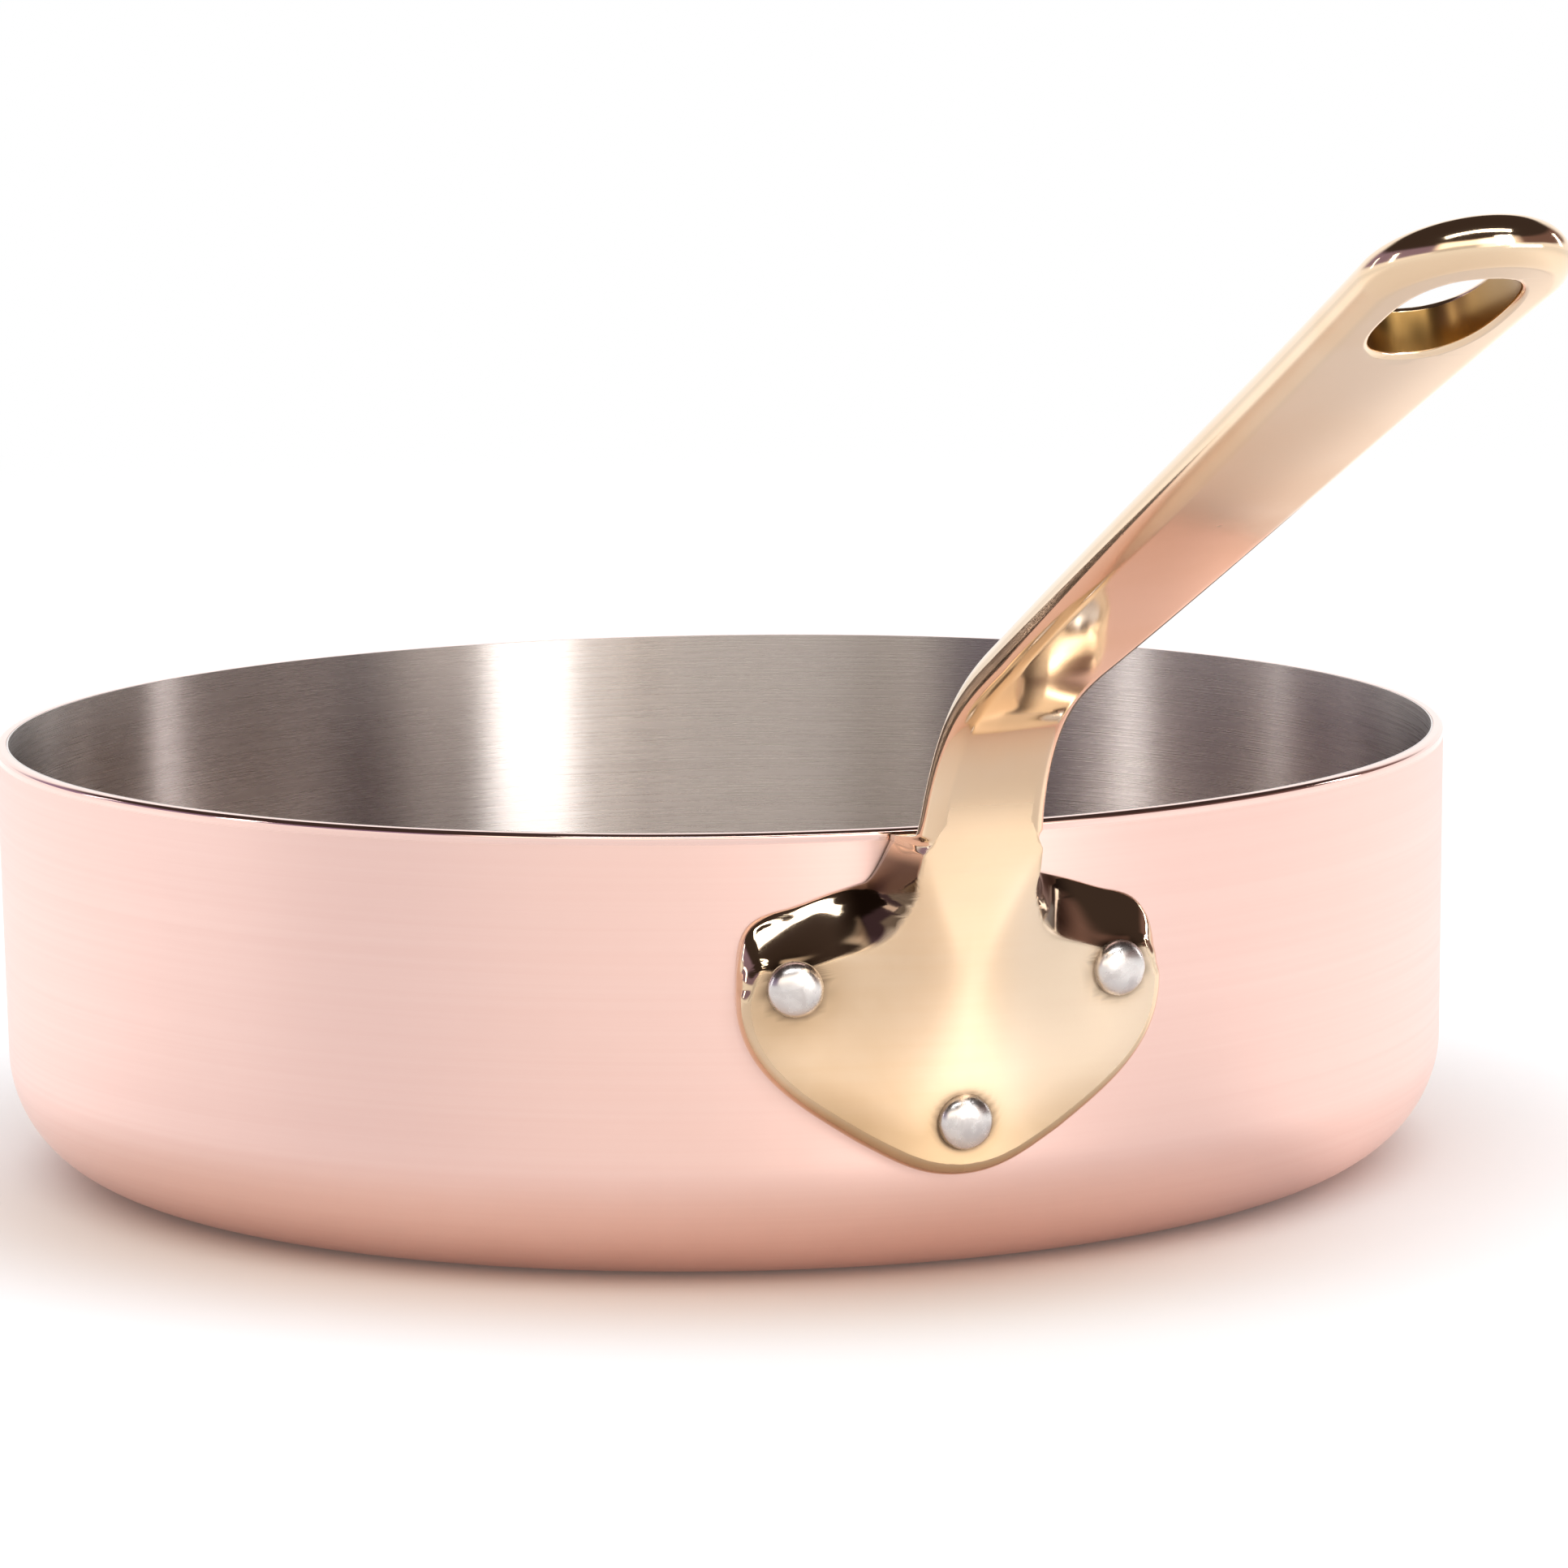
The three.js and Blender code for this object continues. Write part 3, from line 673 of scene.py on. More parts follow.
ROOT_LEAD = 0.33
ROOT_FLARE, ROOT_FLARE_DROP = 1.7, 3.4
WEB_ROUND = 0.9
WEB_CREASE = 0.5
CREST_HALF_WIDTH = 7.0
CREST_FOOT = 22.0
NECK_RISE = 4.0
NECK_STANDOFF = 17.6
NECK_HALF_WIDTH = 9.5
NECK_LEDGE_DROP = 0.3
NECK_LEDGE_BLEND = 2.6
NECK_LEDGE_FLARE = 0.4
NECK_LEDGE_FADE = 4.0
BEND_REACH = 30.0
BEND_RISE = 24.2
BEND_ENTRY = 14.0
BEND_EXIT = 16.0
BEND_HALF_WIDTH = 9.0
BEND_END_HALF_WIDTH = 9.3
ARM_SLOPE = math.radians(23.4)
ARM_LENGTH = 179.5
ARM_THICKNESS = 6.8
ARM_MIDDLE_HALF_WIDTH = 11.4
ARM_END_HALF_WIDTH = 13.5
ARM_END_REACH = 15.0
ARM_END_FULLNESS = 0.56
ARM_EDGE_ROUND = 2.9
ARM_CROWN = 0.4
EYE_LENGTH = 29.0
EYE_WIDTH = 15.6
EYE_END_WALL = 7.6
EYE_FULLNESS = 2.5
EYE_LIP = 0.8
SEAT_GAP = 0.3
print(f"arm {ARM_LENGTH:.0f} mm long, sloping {math.degrees(ARM_SLOPE):.1f} degrees")

# %% Front line: up the wall, round the bend and along the arm


def smooth(value, low, high):
    """An even step from nought to one between two values."""
    share = np.clip((value - low) / (high - low), 0.0, 1.0)
    return share * share * (3 - 2 * share)


def mix(first, second, share):
    """A value between two values."""
    return first + (second - first) * share


def bezier(points, steps):
    """Points of a cubic curve through its two ends."""
    a, b, c, d = (np.array(point, float) for point in points)
    t = np.linspace(0, 1, steps + 1)[:, None]
    return (1 - t) ** 3 * a + 3 * t * (1 - t) ** 2 * b + 3 * t * t * (1 - t) * c + t ** 3 * d


BEND_STEPS = 600
neck_span = PAN_HEIGHT + NECK_RISE - FLANGE_TIP_HEIGHT
foot = np.array([wall_radius(FLANGE_TIP_HEIGHT) + FLANGE_THICKNESS, FLANGE_TIP_HEIGHT])
neck = np.array([RIM_RADIUS + NECK_STANDOFF, foot[1] + neck_span])
neck_way = np.array([neck[0] - foot[0], neck_span / 2])
neck_way /= np.linalg.norm(neck_way)
arm_way = np.array([math.cos(ARM_SLOPE), math.sin(ARM_SLOPE)])
bend_end = neck + np.array([BEND_REACH, BEND_RISE])
bend_line = bezier([neck, neck + neck_way * BEND_ENTRY, bend_end - arm_way * BEND_EXIT, bend_end], BEND_STEPS)
bend_runs = np.concatenate([[0.0], np.cumsum(np.linalg.norm(np.diff(bend_line, axis=0), axis=1))])

bend_end_run = neck_span + bend_runs[-1]
handle_run = bend_end_run + ARM_LENGTH
ear_run = PAN_HEIGHT - EAR_DROP - FLANGE_TIP_HEIGHT
side_run = FLANGE_SIDE_SHARE * ear_run
ledge_run = PAN_HEIGHT - NECK_LEDGE_DROP - FLANGE_TIP_HEIGHT
ledge_end_run = ledge_run + NECK_LEDGE_FADE
cap_run = handle_run - ARM_END_REACH


def front_line(run):
    """Reach from the pan's axis and height of the handle's face, at a run."""
    rise = np.clip(run / neck_span, 0.0, 1.0)
    past_neck = np.clip(run - neck_span, 0.0, bend_runs[-1])
    past_bend = np.maximum(run - bend_end_run, 0.0)
    on_bend = run > neck_span
    bent_out, bent_up = (np.interp(past_neck, bend_runs, bend_line[:, way]) for way in (0, 1))
    reach = np.where(on_bend, bent_out, mix(foot[0], neck[0], rise ** 2))
    height = np.where(on_bend, bent_up, foot[1] + neck_span * rise)
    return reach + arm_way[0] * past_bend, height + arm_way[1] * past_bend


print(f"front line {handle_run:.1f} mm long, bend ends at {bend_end_run:.1f} mm")

# %% [markdown]
# ### Outline
# Laid flat, half of the handle is ten curves from the tip of the shield to the end of the arm. Each
# carries how wide the rounded edge is there, and how crisp the line is where that edge meets the face:
# soft round the shield and the arm, crisp where the belt cut across the shoulders.

# %% Outline of the handle


def on_plate(place):
    """A place on the shield, from shares of its half width and of the height of its widest place."""
    return (place[0] * FLANGE_HALF_WIDTH, place[1] * side_run)


def on_line(first, second, share):
    """A place on the line through two places: beyond the second where the share is over one."""
    return tuple(mix(np.array(first), np.array(second), share))


def straight(first, second):
    """The four points of a straight stretch."""
    return [first, on_line(first, second, 1 / 3), on_line(first, second, 2 / 3), second]


def swelling(first, second, width):
    """The four points of a stretch that is drawn towards one half width."""
    thirds = [(width, mix(first[1], second[1], share)) for share in (1 / 3, 2 / 3)]
    return [first, *thirds, second]


# Each kind of edge is the width of its rounding and how crisp its line is
PLATE = (FLANGE_EDGE_ROUND, 0.0)
SHOULDER = (SHOULDER_ROUND, SHOULDER_CREASE)
ROOT = (ROOT_ROUND, ROOT_CREASE)
WEB = (WEB_ROUND, WEB_CREASE)
BAR = (ARM_EDGE_ROUND, 0.0)
diagonal = on_plate(DIAGONAL)
side_end = (FLANGE_HALF_WIDTH, side_run)
ear_side = (FLANGE_HALF_WIDTH, side_run + EAR_CORNER_SIDE)
ear_corner = (EAR_HALF_WIDTH + EAR_CORNER_TOP, ear_run - EAR_CORNER_DIP)
ear_end = (EAR_HALF_WIDTH, ear_run)
shoulder_middle = (SHOULDER_MIDDLE[0], ear_run + SHOULDER_MIDDLE[1])
shoulder_end = (SHOULDER_END[0], ear_run + SHOULDER_END[1])
ear_lead = on_line(ear_corner, ear_end, 1 + SHOULDER_LEAD)
shoulder_pull = on_line(shoulder_end, shoulder_middle, 1 + SHOULDER_PULL)
root_lead = on_line(shoulder_middle, shoulder_end, 1 + ROOT_LEAD)
ledge_start = (NECK_HALF_WIDTH + NECK_LEDGE_FLARE, ledge_run - NECK_LEDGE_BLEND / 2)
root_flare = (ledge_start[0] + ROOT_FLARE, ledge_start[1] - ROOT_FLARE_DROP)
ledge_end = (NECK_HALF_WIDTH, ledge_end_run)
bend_place = (BEND_END_HALF_WIDTH, bend_end_run)
cap_place = (ARM_END_HALF_WIDTH, cap_run)
cap_side = (ARM_END_HALF_WIDTH, mix(cap_run, handle_run, ARM_END_FULLNESS))
cap_top = (ARM_END_HALF_WIDTH * ARM_END_FULLNESS, handle_run)
stretches = [
    ([(0, 0), on_plate(TIP_PULL), on_plate(DIAGONAL_LEAD), diagonal], 36, PLATE, PLATE),
    ([diagonal, on_plate(DIAGONAL_PULL), on_plate(SIDE_LEAD), side_end], 44, PLATE, PLATE),
    ([side_end, ear_side, ear_corner, ear_end], 90, PLATE, SHOULDER),
    ([ear_end, ear_lead, shoulder_pull, shoulder_middle], 40, SHOULDER, SHOULDER),
    (straight(shoulder_middle, shoulder_end), 24, SHOULDER, ROOT),
    ([shoulder_end, root_lead, root_flare, ledge_start], 36, ROOT, WEB),
    (straight(ledge_start, ledge_end), 24, WEB, BAR),
    (swelling(ledge_end, bend_place, BEND_HALF_WIDTH), 56, BAR, BAR),
    (swelling(bend_place, cap_place, ARM_MIDDLE_HALF_WIDTH), 60, BAR, BAR),
    ([cap_place, cap_side, cap_top, (0, handle_run)], 44, BAR, BAR),
]
drawn = [np.array([[0.0, 0.0, *PLATE]])]
for points, steps, first, last in stretches:
    share = np.linspace(0, 1, steps + 1)[:, None]
    edge_values = mix(np.array(first), np.array(last), share)
    drawn.append(np.hstack([bezier(points, steps), edge_values])[1:])
outline = np.vstack(drawn)
print("outline of", len(outline), "points, widest", round(2 * outline[:, 0].max(), 1), "mm")

# %% How far a point is into the rounded edge
POINTS_AT_ONCE = 2000


def edge_share(across, run):
    """Share of the full depth at points of the flat outline: nought on the edge, one on the face."""
    a, b = outline[:-1], outline[1:]
    step = b[:, :2] - a[:, :2]
    length2 = (step ** 2).sum(1)
    flat = np.column_stack([across.ravel(), run.ravel()])
    near, crease = np.zeros(len(flat)), np.zeros(len(flat))
    for start in range(0, len(flat), POINTS_AT_ONCE):
        chunk = slice(start, start + POINTS_AT_ONCE)
        offset = flat[chunk, None, :] - a[None, :, :2]
        along = np.clip((offset * step).sum(2) / length2, 0, 1)
        gap = np.linalg.norm(offset - along[:, :, None] * step, axis=2)
        share = gap / mix(a[:, 2], b[:, 2], along)
        best = share.argmin(1)
        rows = np.arange(len(best))
        near[chunk] = share[rows, best]
        crease[chunk] = mix(a[best, 3], b[best, 3], along[rows, best])
    within = np.minimum(near, 1)
    share = mix(np.sqrt(1 - (1 - within) ** 2), within, crease)
    return share.reshape(across.shape), near.reshape(across.shape)


print("edge rule ready")

# %% [markdown]
# ### Rows and columns
# The loft has a row at every point of the outline, with extra rows round the eye. Each row has columns
# from its middle, or from the edge of the eye, out to the outline, and they crowd together where the
# metal turns over an edge, so the rounding stays smooth.

# %% Rows, columns and the eye
INNER_COLUMNS = 20
LIP_COLUMNS = 5
OUTER_COLUMNS = 20
EYE_ROWS = 64
LIP_ROWS = 6
WIDEST_ZONE = 0.7
TRIAL_COLUMNS = 120
ZONE_BLEND = 1.2
EYE_CLEAR = EYE_LIP + 0.1
SAME_ROW = 1e-4

eye_end = handle_run - EYE_END_WALL
eye_start = eye_end - EYE_LENGTH
eye_middle = (eye_start + eye_end) / 2
eye_turn = np.linspace(0, math.pi, EYE_ROWS + 1)
eye_cosine = np.cos(eye_turn)
eye_curve = np.column_stack([
    EYE_WIDTH / 2 * np.sin(eye_turn) ** (2 / EYE_FULLNESS),
    eye_middle - EYE_LENGTH / 2 * np.sign(eye_cosine) * np.abs(eye_cosine) ** (2 / EYE_FULLNESS),
])
lip_steps = EYE_LIP * (1 - np.sin(np.linspace(0, QUARTER_TURN, LIP_ROWS, endpoint=False)))
plain_runs = outline[:, 1]
clear_of_eye = (plain_runs < eye_start - EYE_CLEAR) | (plain_runs > eye_end + EYE_CLEAR)
row_runs = np.unique(np.round(np.concatenate([
    plain_runs[clear_of_eye], eye_curve[:, 1], eye_start - lip_steps, eye_end + lip_steps,
]), 6))
row_width = np.interp(row_runs, outline[:, 1], outline[:, 0])
row_eye = np.interp(row_runs, eye_curve[:, 1], eye_curve[:, 0], left=0.0, right=0.0)
split_rows = (row_runs > eye_start + SAME_ROW) & (row_runs < eye_end - SAME_ROW)
row_eye[~split_rows] = 0.0


def slant(width):
    """How much wider an edge looks along a row, where the outline runs slanting to it."""
    return np.sqrt(1 + np.gradient(width, row_runs) ** 2)


def face_edge(width, trial_near):
    """Where the flat face ends on a row, out from the middle: the last place clear of the rounded edge."""
    steps = np.linspace(0, width, TRIAL_COLUMNS)
    clear = np.where(trial_near >= 1)[0]
    if not len(clear) or clear[-1] == TRIAL_COLUMNS - 1:
        return 0.0
    last = clear[-1]
    share = (trial_near[last] - 1) / (trial_near[last] - trial_near[last + 1])
    return mix(steps[last], steps[last + 1], share)


trial_across = row_width[:, None] * np.linspace(0, 1, TRIAL_COLUMNS)
trial_run = np.repeat(row_runs[:, None], TRIAL_COLUMNS, axis=1)
trial_near = edge_share(trial_across, trial_run)[1]
row_face = np.array([face_edge(width, values) for width, values in zip(row_width, trial_near)])
nearby = np.exp(-((row_runs[:, None] - row_runs[None, :]) / ZONE_BLEND) ** 2)
free_width = row_width - row_eye
edge_zone = np.minimum(nearby @ (row_width - row_face) / nearby.sum(1), WIDEST_ZONE * free_width)
lip_zone = np.minimum(EYE_LIP * slant(row_eye), 0.5 * (free_width - edge_zone))
even = np.linspace(0, 1, INNER_COLUMNS + 1)
lip_share = 1 - np.cos(np.linspace(0, QUARTER_TURN, LIP_COLUMNS + 1))
rest_share = np.linspace(0, 1, INNER_COLUMNS - LIP_COLUMNS + 1)[1:]
step_share = np.linspace(0, 1, OUTER_COLUMNS + 1)[1:]
round_share = (np.sin(step_share * QUARTER_TURN) + step_share) / 2
inner_width = free_width - edge_zone
plain_columns = inner_width[:, None] * even
eye_columns = np.hstack([
    lip_zone[:, None] * lip_share,
    lip_zone[:, None] + (inner_width - lip_zone)[:, None] * rest_share,
])
inner_columns = row_eye[:, None] + np.where(split_rows[:, None], eye_columns, plain_columns)
outer_columns = row_width[:, None] - edge_zone[:, None] * (1 - round_share)
across = np.hstack([inner_columns, outer_columns])
run = np.repeat(row_runs[:, None], across.shape[1], axis=1)
print("loft of", across.shape[0], "rows and", across.shape[1], "columns on each half")

# %% [markdown]
# ### Depth
# Depth is measured back from the front line. On the wall the casting fills the space back to the copper,
# and the shoulders slope deep. Past the ledge at the rim it comes free, and becomes a bar of even
# thickness whose top and underside are slightly crowned. The slopes under the ears are evened out by
# averaging each point with its neighbours, so that a lamp draws one clean band on them.

# %% Depth rule


def eye_lip_depth(across, run):
    """How far the surface dips at the rounded lip of the eye."""
    a, b = eye_curve[:-1], eye_curve[1:]
    step = b - a
    dip = np.zeros(across.shape)
    rows = np.where((run[:, 0] > eye_start - 2 * EYE_LIP) & (run[:, 0] < eye_end + 2 * EYE_LIP))[0]
    points = np.stack([across[rows], run[rows]], axis=2).reshape(-1, 2)
    offset = points[:, None, :] - a[None]
    along = np.clip((offset * step).sum(2) / (step ** 2).sum(1), 0, 1)
    gap = np.linalg.norm(offset - along[:, :, None] * step, axis=2).min(1)
    inside = np.clip(EYE_LIP - gap, 0, EYE_LIP)
    dip[rows] = (EYE_LIP - np.sqrt(EYE_LIP ** 2 - inside ** 2)).reshape(len(rows), -1)
    return dip


SOFTEN_ROUNDS = 16
SOFTEN_NEAR = (0.06, 0.2, 0.72, 0.9)
SOFTEN_ACROSS = (13.0, 18.0)
SOFTEN_BLEND = 3.0
BELT_EDGE = (0.93, 1.0)
BELT_END = (-4.0, 10.0)
reach, height = front_line(run)
flat = smooth(run, ear_run, ledge_end_run)
free = smooth(run, ledge_run - NECK_LEDGE_BLEND / 2, ledge_run + NECK_LEDGE_BLEND / 2)
tilt = (QUARTER_TURN - ARM_SLOPE) * smooth(run, ledge_run, bend_end_run)
wall_depth = reach - wall_radius(np.minimum(height, PAN_HEIGHT))
crest = CREST_HALF_WIDTH * smooth(run, side_run, ledge_run)
fall = np.maximum(wall_depth - FLANGE_THICKNESS, 0) * smooth(across, crest, CREST_FOOT)
crown = ARM_CROWN * (across / ARM_END_HALF_WIDTH) ** 2
face = mix(fall, crown, flat)
roll = mix(FLANGE_EDGE_DEPTH, SHOULDER_DEPTH, smooth(run, side_run, ear_run - FLANGE_EDGE_ROUND))
roll = mix(roll, ARM_THICKNESS / 2 - crown, free)
on_wall = wall_depth - SEAT_GAP
edge = mix(np.minimum(on_wall, face + roll), np.minimum(wall_depth, face + roll), free)
back = mix(on_wall, ARM_THICKNESS - crown, free)
share, near = edge_share(across, run)
softened = share.copy()
for _ in range(SOFTEN_ROUNDS):
    padded = np.pad(softened, [(1, 1), (0, 0)], mode="edge")
    softened = 0.25 * padded[:-2] + 0.5 * softened + 0.25 * padded[2:]
    padded = np.pad(softened, [(0, 0), (1, 1)], mode="edge")
    softened = 0.25 * padded[:, :-2] + 0.5 * softened + 0.25 * padded[:, 2:]
inside_slope = smooth(near, *SOFTEN_NEAR[:2]) * (1 - smooth(near, *SOFTEN_NEAR[2:]))
on_ear = smooth(run, side_run, side_run + SOFTEN_BLEND) * smooth(across, *SOFTEN_ACROSS)
share = mix(share, softened, inside_slope * on_ear * (run < ledge_run))
dip = eye_lip_depth(across, run)
face_depth = mix(edge, face, share) + dip
back_depth = mix(edge, back, share) - dip
belted = smooth(near, *BELT_EDGE)
ground_face = belted * (1 - smooth(run, *(neck_span + end for end in BELT_END)))
print(f"deepest face {face_depth.max():.1f} mm, thickest {(back_depth - face_depth).max():.1f} mm")

# %% [markdown]
# ### Stains, painted shade and painted light
# Polish gathers round the rivets and along the lower edge, and dulls the brass there. The shield is also
# darkened towards its tip, as painted shade. The slopes where the neck leaves the shield are painted
# dark, as painted shade, and a thin dark line stays where each rivet head meets the brass. The right
# half of the belted face is painted paler, as painted light. They are values on the mesh, measured
# here, and the two brass finishes read them.

# %% Sizes of the rivets
RIVET_LOWER_RISE = 8.8
RIVET_UPPER_DROP = 23.0
RIVET_UPPER_ARC = 25.0
RIVET_SHANK = 5.0
RIVET_HEAD = 8.6
RIVET_HEAD_HEIGHT = 2.7
RIVET_HEAD_SKIRT = 0.5
RIVET_INNER_HEAD = 11.0
RIVET_INNER_HEIGHT = 2.2
RIVET_SEAT_DEPTH = 0.45
upper_turn = RIVET_UPPER_ARC / RIM_RADIUS
upper_height = PAN_HEIGHT - RIVET_UPPER_DROP
lower_height = FLANGE_TIP_HEIGHT + RIVET_LOWER_RISE
rivet_places = [(-upper_turn, upper_height), (upper_turn, upper_height), (0.0, lower_height)]
print("rivets at", [(round(math.degrees(turn), 1), height) for turn, height in rivet_places])

# %% Stains, painted shade and painted light
# Each stain round a rivet is its strength and how far it spreads from the head
LEFT_STAIN, RIGHT_STAIN, LOWER_STAIN, RIVET_RING = (0.85, 3.64), (0.35, 1.56), (0.3, 1.56), (0.7, 0.6)
# The tip's darkening is painted shade; the edge values are stains along the lower edge
LEFT_EDGE_STAIN, RIGHT_EDGE_STAIN, TIP_PAINTED_SHADE = 0.4, 0.15, 0.75
EDGE_REACH, TIP_REACH = (2.0, 10.0), (5.0, 19.0)
NECK_SHADE_ACROSS, NECK_SHADE_START, NECK_SHADE_END = (15, 20), (-8, -3), (-4, -0.5)
# Painted light: how strong the paler tone on the right half of the belted face is, and where across it starts
PAINTED_LIGHT_SHARE, PAINTED_LIGHT_ACROSS = 0.6, (1, 9)


def stain_round(centre, strength, width):
    """Stain round one rivet, strongest at the edge of its head."""
    away = np.hypot(across - centre[0], run - centre[1])
    return strength * np.exp(-(np.maximum(away - RIVET_HEAD / 2, 0) / width) ** 2)


upper_centre = (RIVET_UPPER_ARC, upper_height - FLANGE_TIP_HEIGHT)
lower_centre = (0.0, RIVET_LOWER_RISE)
lower_edge = (1 - smooth(near * FLANGE_EDGE_ROUND, *EDGE_REACH)) * (1 - smooth(run, side_run, ear_run))
left_stain = stain_round(upper_centre, *LEFT_STAIN) + LEFT_EDGE_STAIN * lower_edge
right_stain = stain_round(upper_centre, *RIGHT_STAIN) + RIGHT_EDGE_STAIN * lower_edge
# The lower rivet's stain, and a painted shade that darkens the shield towards its tip
lower_stain_and_tip_shade = stain_round(lower_centre, *LOWER_STAIN) + TIP_PAINTED_SHADE * (1 - smooth(run, *TIP_REACH))
# Painted shade: the slopes beside the neck, below the ledge and off the belted face, are darkened
by_neck = (1 - smooth(across, *NECK_SHADE_ACROSS)) * smooth(run, *(ear_run + end for end in NECK_SHADE_START))
below_ledge = 1 - smooth(run, *(ledge_run + end for end in NECK_SHADE_END))
neck_shade_and_rings = (1 - belted) * by_neck * below_ledge
# A thin dark ring where each rivet head meets the brass
for centre in (upper_centre, lower_centre):
    neck_shade_and_rings = np.maximum(neck_shade_and_rings, stain_round(centre, *RIVET_RING))
right_painted_light = PAINTED_LIGHT_SHARE * ground_face * smooth(across, *PAINTED_LIGHT_ACROSS) * (1 - smooth(run, ear_run, ledge_run))
print("points with skin:", int((neck_shade_and_rings > 0.2).sum()), "rubbed points:", int((right_painted_light > 0.2).sum()))

# %% From depths to places


def casting_points(depth, side):
    """Places of one half of a face of the casting, side 1 or -1, in millimetres."""
    out = reach - depth * np.cos(tilt)
    angle = across / RIM_RADIUS
    x = mix(out * np.cos(angle), out, flat)
    y = mix(out * np.sin(angle), across, flat)
    return np.stack([x, side * y, height + depth * np.sin(tilt)], axis=2)


sheets = [casting_points(depth, side) for depth in (face_depth, back_depth) for side in (1, -1)]
places = np.concatenate([sheet.reshape(-1, 3) for sheet in sheets])
numbers = np.arange(len(places)).reshape(4, *across.shape)
front_right, front_left, back_right, back_left = numbers
back_right[:, -1] = front_right[:, -1]
back_left[:, -1] = front_left[:, -1]
front_left[~split_rows, 0] = front_right[~split_rows, 0]
back_left[~split_rows, 0] = back_right[~split_rows, 0]
for row in (0, -1):
    numbers[:, row, :] = front_right[row, 0]
first_split, last_split = np.where(split_rows)[0][[0, -1]]
eye_rows = np.arange(first_split - 1, last_split + 2)
bare, on_eye = np.zeros(across.shape), np.zeros(across.shape)
on_eye[eye_rows, 0] = 1.0
marks_on_sheets = {
    "ground": [ground_face, ground_face, bare, bare],
    "eye_wall": [on_eye] * 4,
    "stain_and_tip_shade": [np.clip(right_stain + lower_stain_and_tip_shade, 0, 1), np.clip(left_stain + lower_stain_and_tip_shade, 0, 1), bare, bare],
    "neck_shade_and_rings": [neck_shade_and_rings] * 4,
    "right_painted_light": [right_painted_light, bare, bare, bare],
}
print("casting points:", len(np.unique(numbers)))

# %% Faces of the casting


def four_sided(corners, turned):
    """Four-sided faces, one row each, from the point numbers at their four corners."""
    columns = [corner.ravel() for corner in corners]
    return np.column_stack(columns[::-1] if turned else columns)


quads = []
for sheet, turned in ((front_right, False), (front_left, True), (back_right, True), (back_left, False)):
    quads.append(four_sided([sheet[:-1, :-1], sheet[:-1, 1:], sheet[1:, 1:], sheet[1:, :-1]], turned))
for front, back_side, turned in ((front_right, back_right, False), (front_left, back_left, True)):
    lip, far_lip = front[eye_rows, 0], back_side[eye_rows, 0]
    quads.append(four_sided([lip[:-1], lip[1:], far_lip[1:], far_lip[:-1]], turned))
used, renumbered = np.unique(np.vstack(quads), return_inverse=True)
distinct = [list(dict.fromkeys(quad)) for quad in renumbered.reshape(-1, 4).tolist()]
faces = [corners for corners in distinct if len(corners) > 2]
print("casting faces:", len(faces))

# %% Casting mesh
handle_low, handle_high = (np.array(corner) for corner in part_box("brass_handle"))
handle_places = np.clip(places[used] * MM, handle_low, handle_high)
mesh = bpy.data.meshes.new("cast_handle")
mesh.from_pydata(handle_places.tolist(), [], faces)
for label, values in marks_on_sheets.items():
    mark = mesh.attributes.new(label, "FLOAT", "POINT")
    mark.data.foreach_set("value", np.ravel(values)[used].astype(np.float32))
shape = bmesh.new()
shape.from_mesh(mesh)
bmesh.ops.recalc_face_normals(shape, faces=shape.faces)
open_edges = sum(1 for edge_line in shape.edges if not edge_line.is_manifold)
ground_layer = shape.verts.layers.float["ground"]
for facet in shape.faces:
    facet.smooth = True
    facet.material_index = int(any(corner[ground_layer] > 0 for corner in facet.verts))
shape.to_mesh(mesh)
shape.free()
mesh.materials.append(polished_brass)
mesh.materials.append(brushed_brass)
cast_handle = new_piece("cast_handle", mesh)
print("cast_handle", count_triangles(cast_handle), "triangles,", open_edges, "open edges")

# %% [markdown]
# ## Rivets
# Three rivets hold the flange, two near its ears and one near its tip. Each goes through the brass and
# both sheets of the wall and is headed on both sides. A rivet is drawn as one short line through the
# wall, and a geometry tree sets a domed head on each end and a round shank along it, so one drawing
# serves all three.

# %% Tree of a domed head
HEAD_RINGS, HEAD_SIDES = 41, 65
DOME_SHARE, SKIRT_SHARE = 0.8, 0.1
under_share = DOME_SHARE + SKIRT_SHARE


def domed_head_tree():
    """A rivet head standing on the floor of its own frame, closed underneath."""
    tree, given, out = start_tree(
        "domed head", "GeometryNodeTree",
        [("Radius", FLOAT), ("Dome", FLOAT), ("Skirt", FLOAT), ("Fullness", FLOAT)],
        [("Geometry", GEOMETRY)],
    )
    grid, place = unit_grid(tree, HEAD_RINGS, HEAD_SIDES)
    over_dome = calc(tree, "MINIMUM", calc(tree, "DIVIDE", place[0], DOME_SHARE), 1.0)
    down_skirt, underneath = (
        clamp01(tree, calc(tree, "DIVIDE", calc(tree, "SUBTRACT", place[0], start), SKIRT_SHARE))
        for start in (DOME_SHARE, under_share)
    )
    angle = calc(tree, "MULTIPLY", over_dome, QUARTER_TURN)
    swell = calc(tree, "POWER", calc(tree, "SINE", angle), given["Fullness"])
    outer = calc(tree, "MULTIPLY", given["Radius"], swell)
    radius = calc(tree, "MULTIPLY", outer, calc(tree, "SUBTRACT", 1.0, underneath))
    dome = calc(tree, "MULTIPLY", given["Dome"], calc(tree, "COSINE", angle))
    skirt = calc(tree, "MULTIPLY", given["Skirt"], calc(tree, "SUBTRACT", 1.0, down_skirt))
    closed = roll_up(tree, grid, radius, calc(tree, "ADD", dome, skirt), place[1])
    tree.links.new(closed, out["Geometry"])
    return tree


domed_head = domed_head_tree()
print("tree:", domed_head.name, len(domed_head.nodes), "nodes")

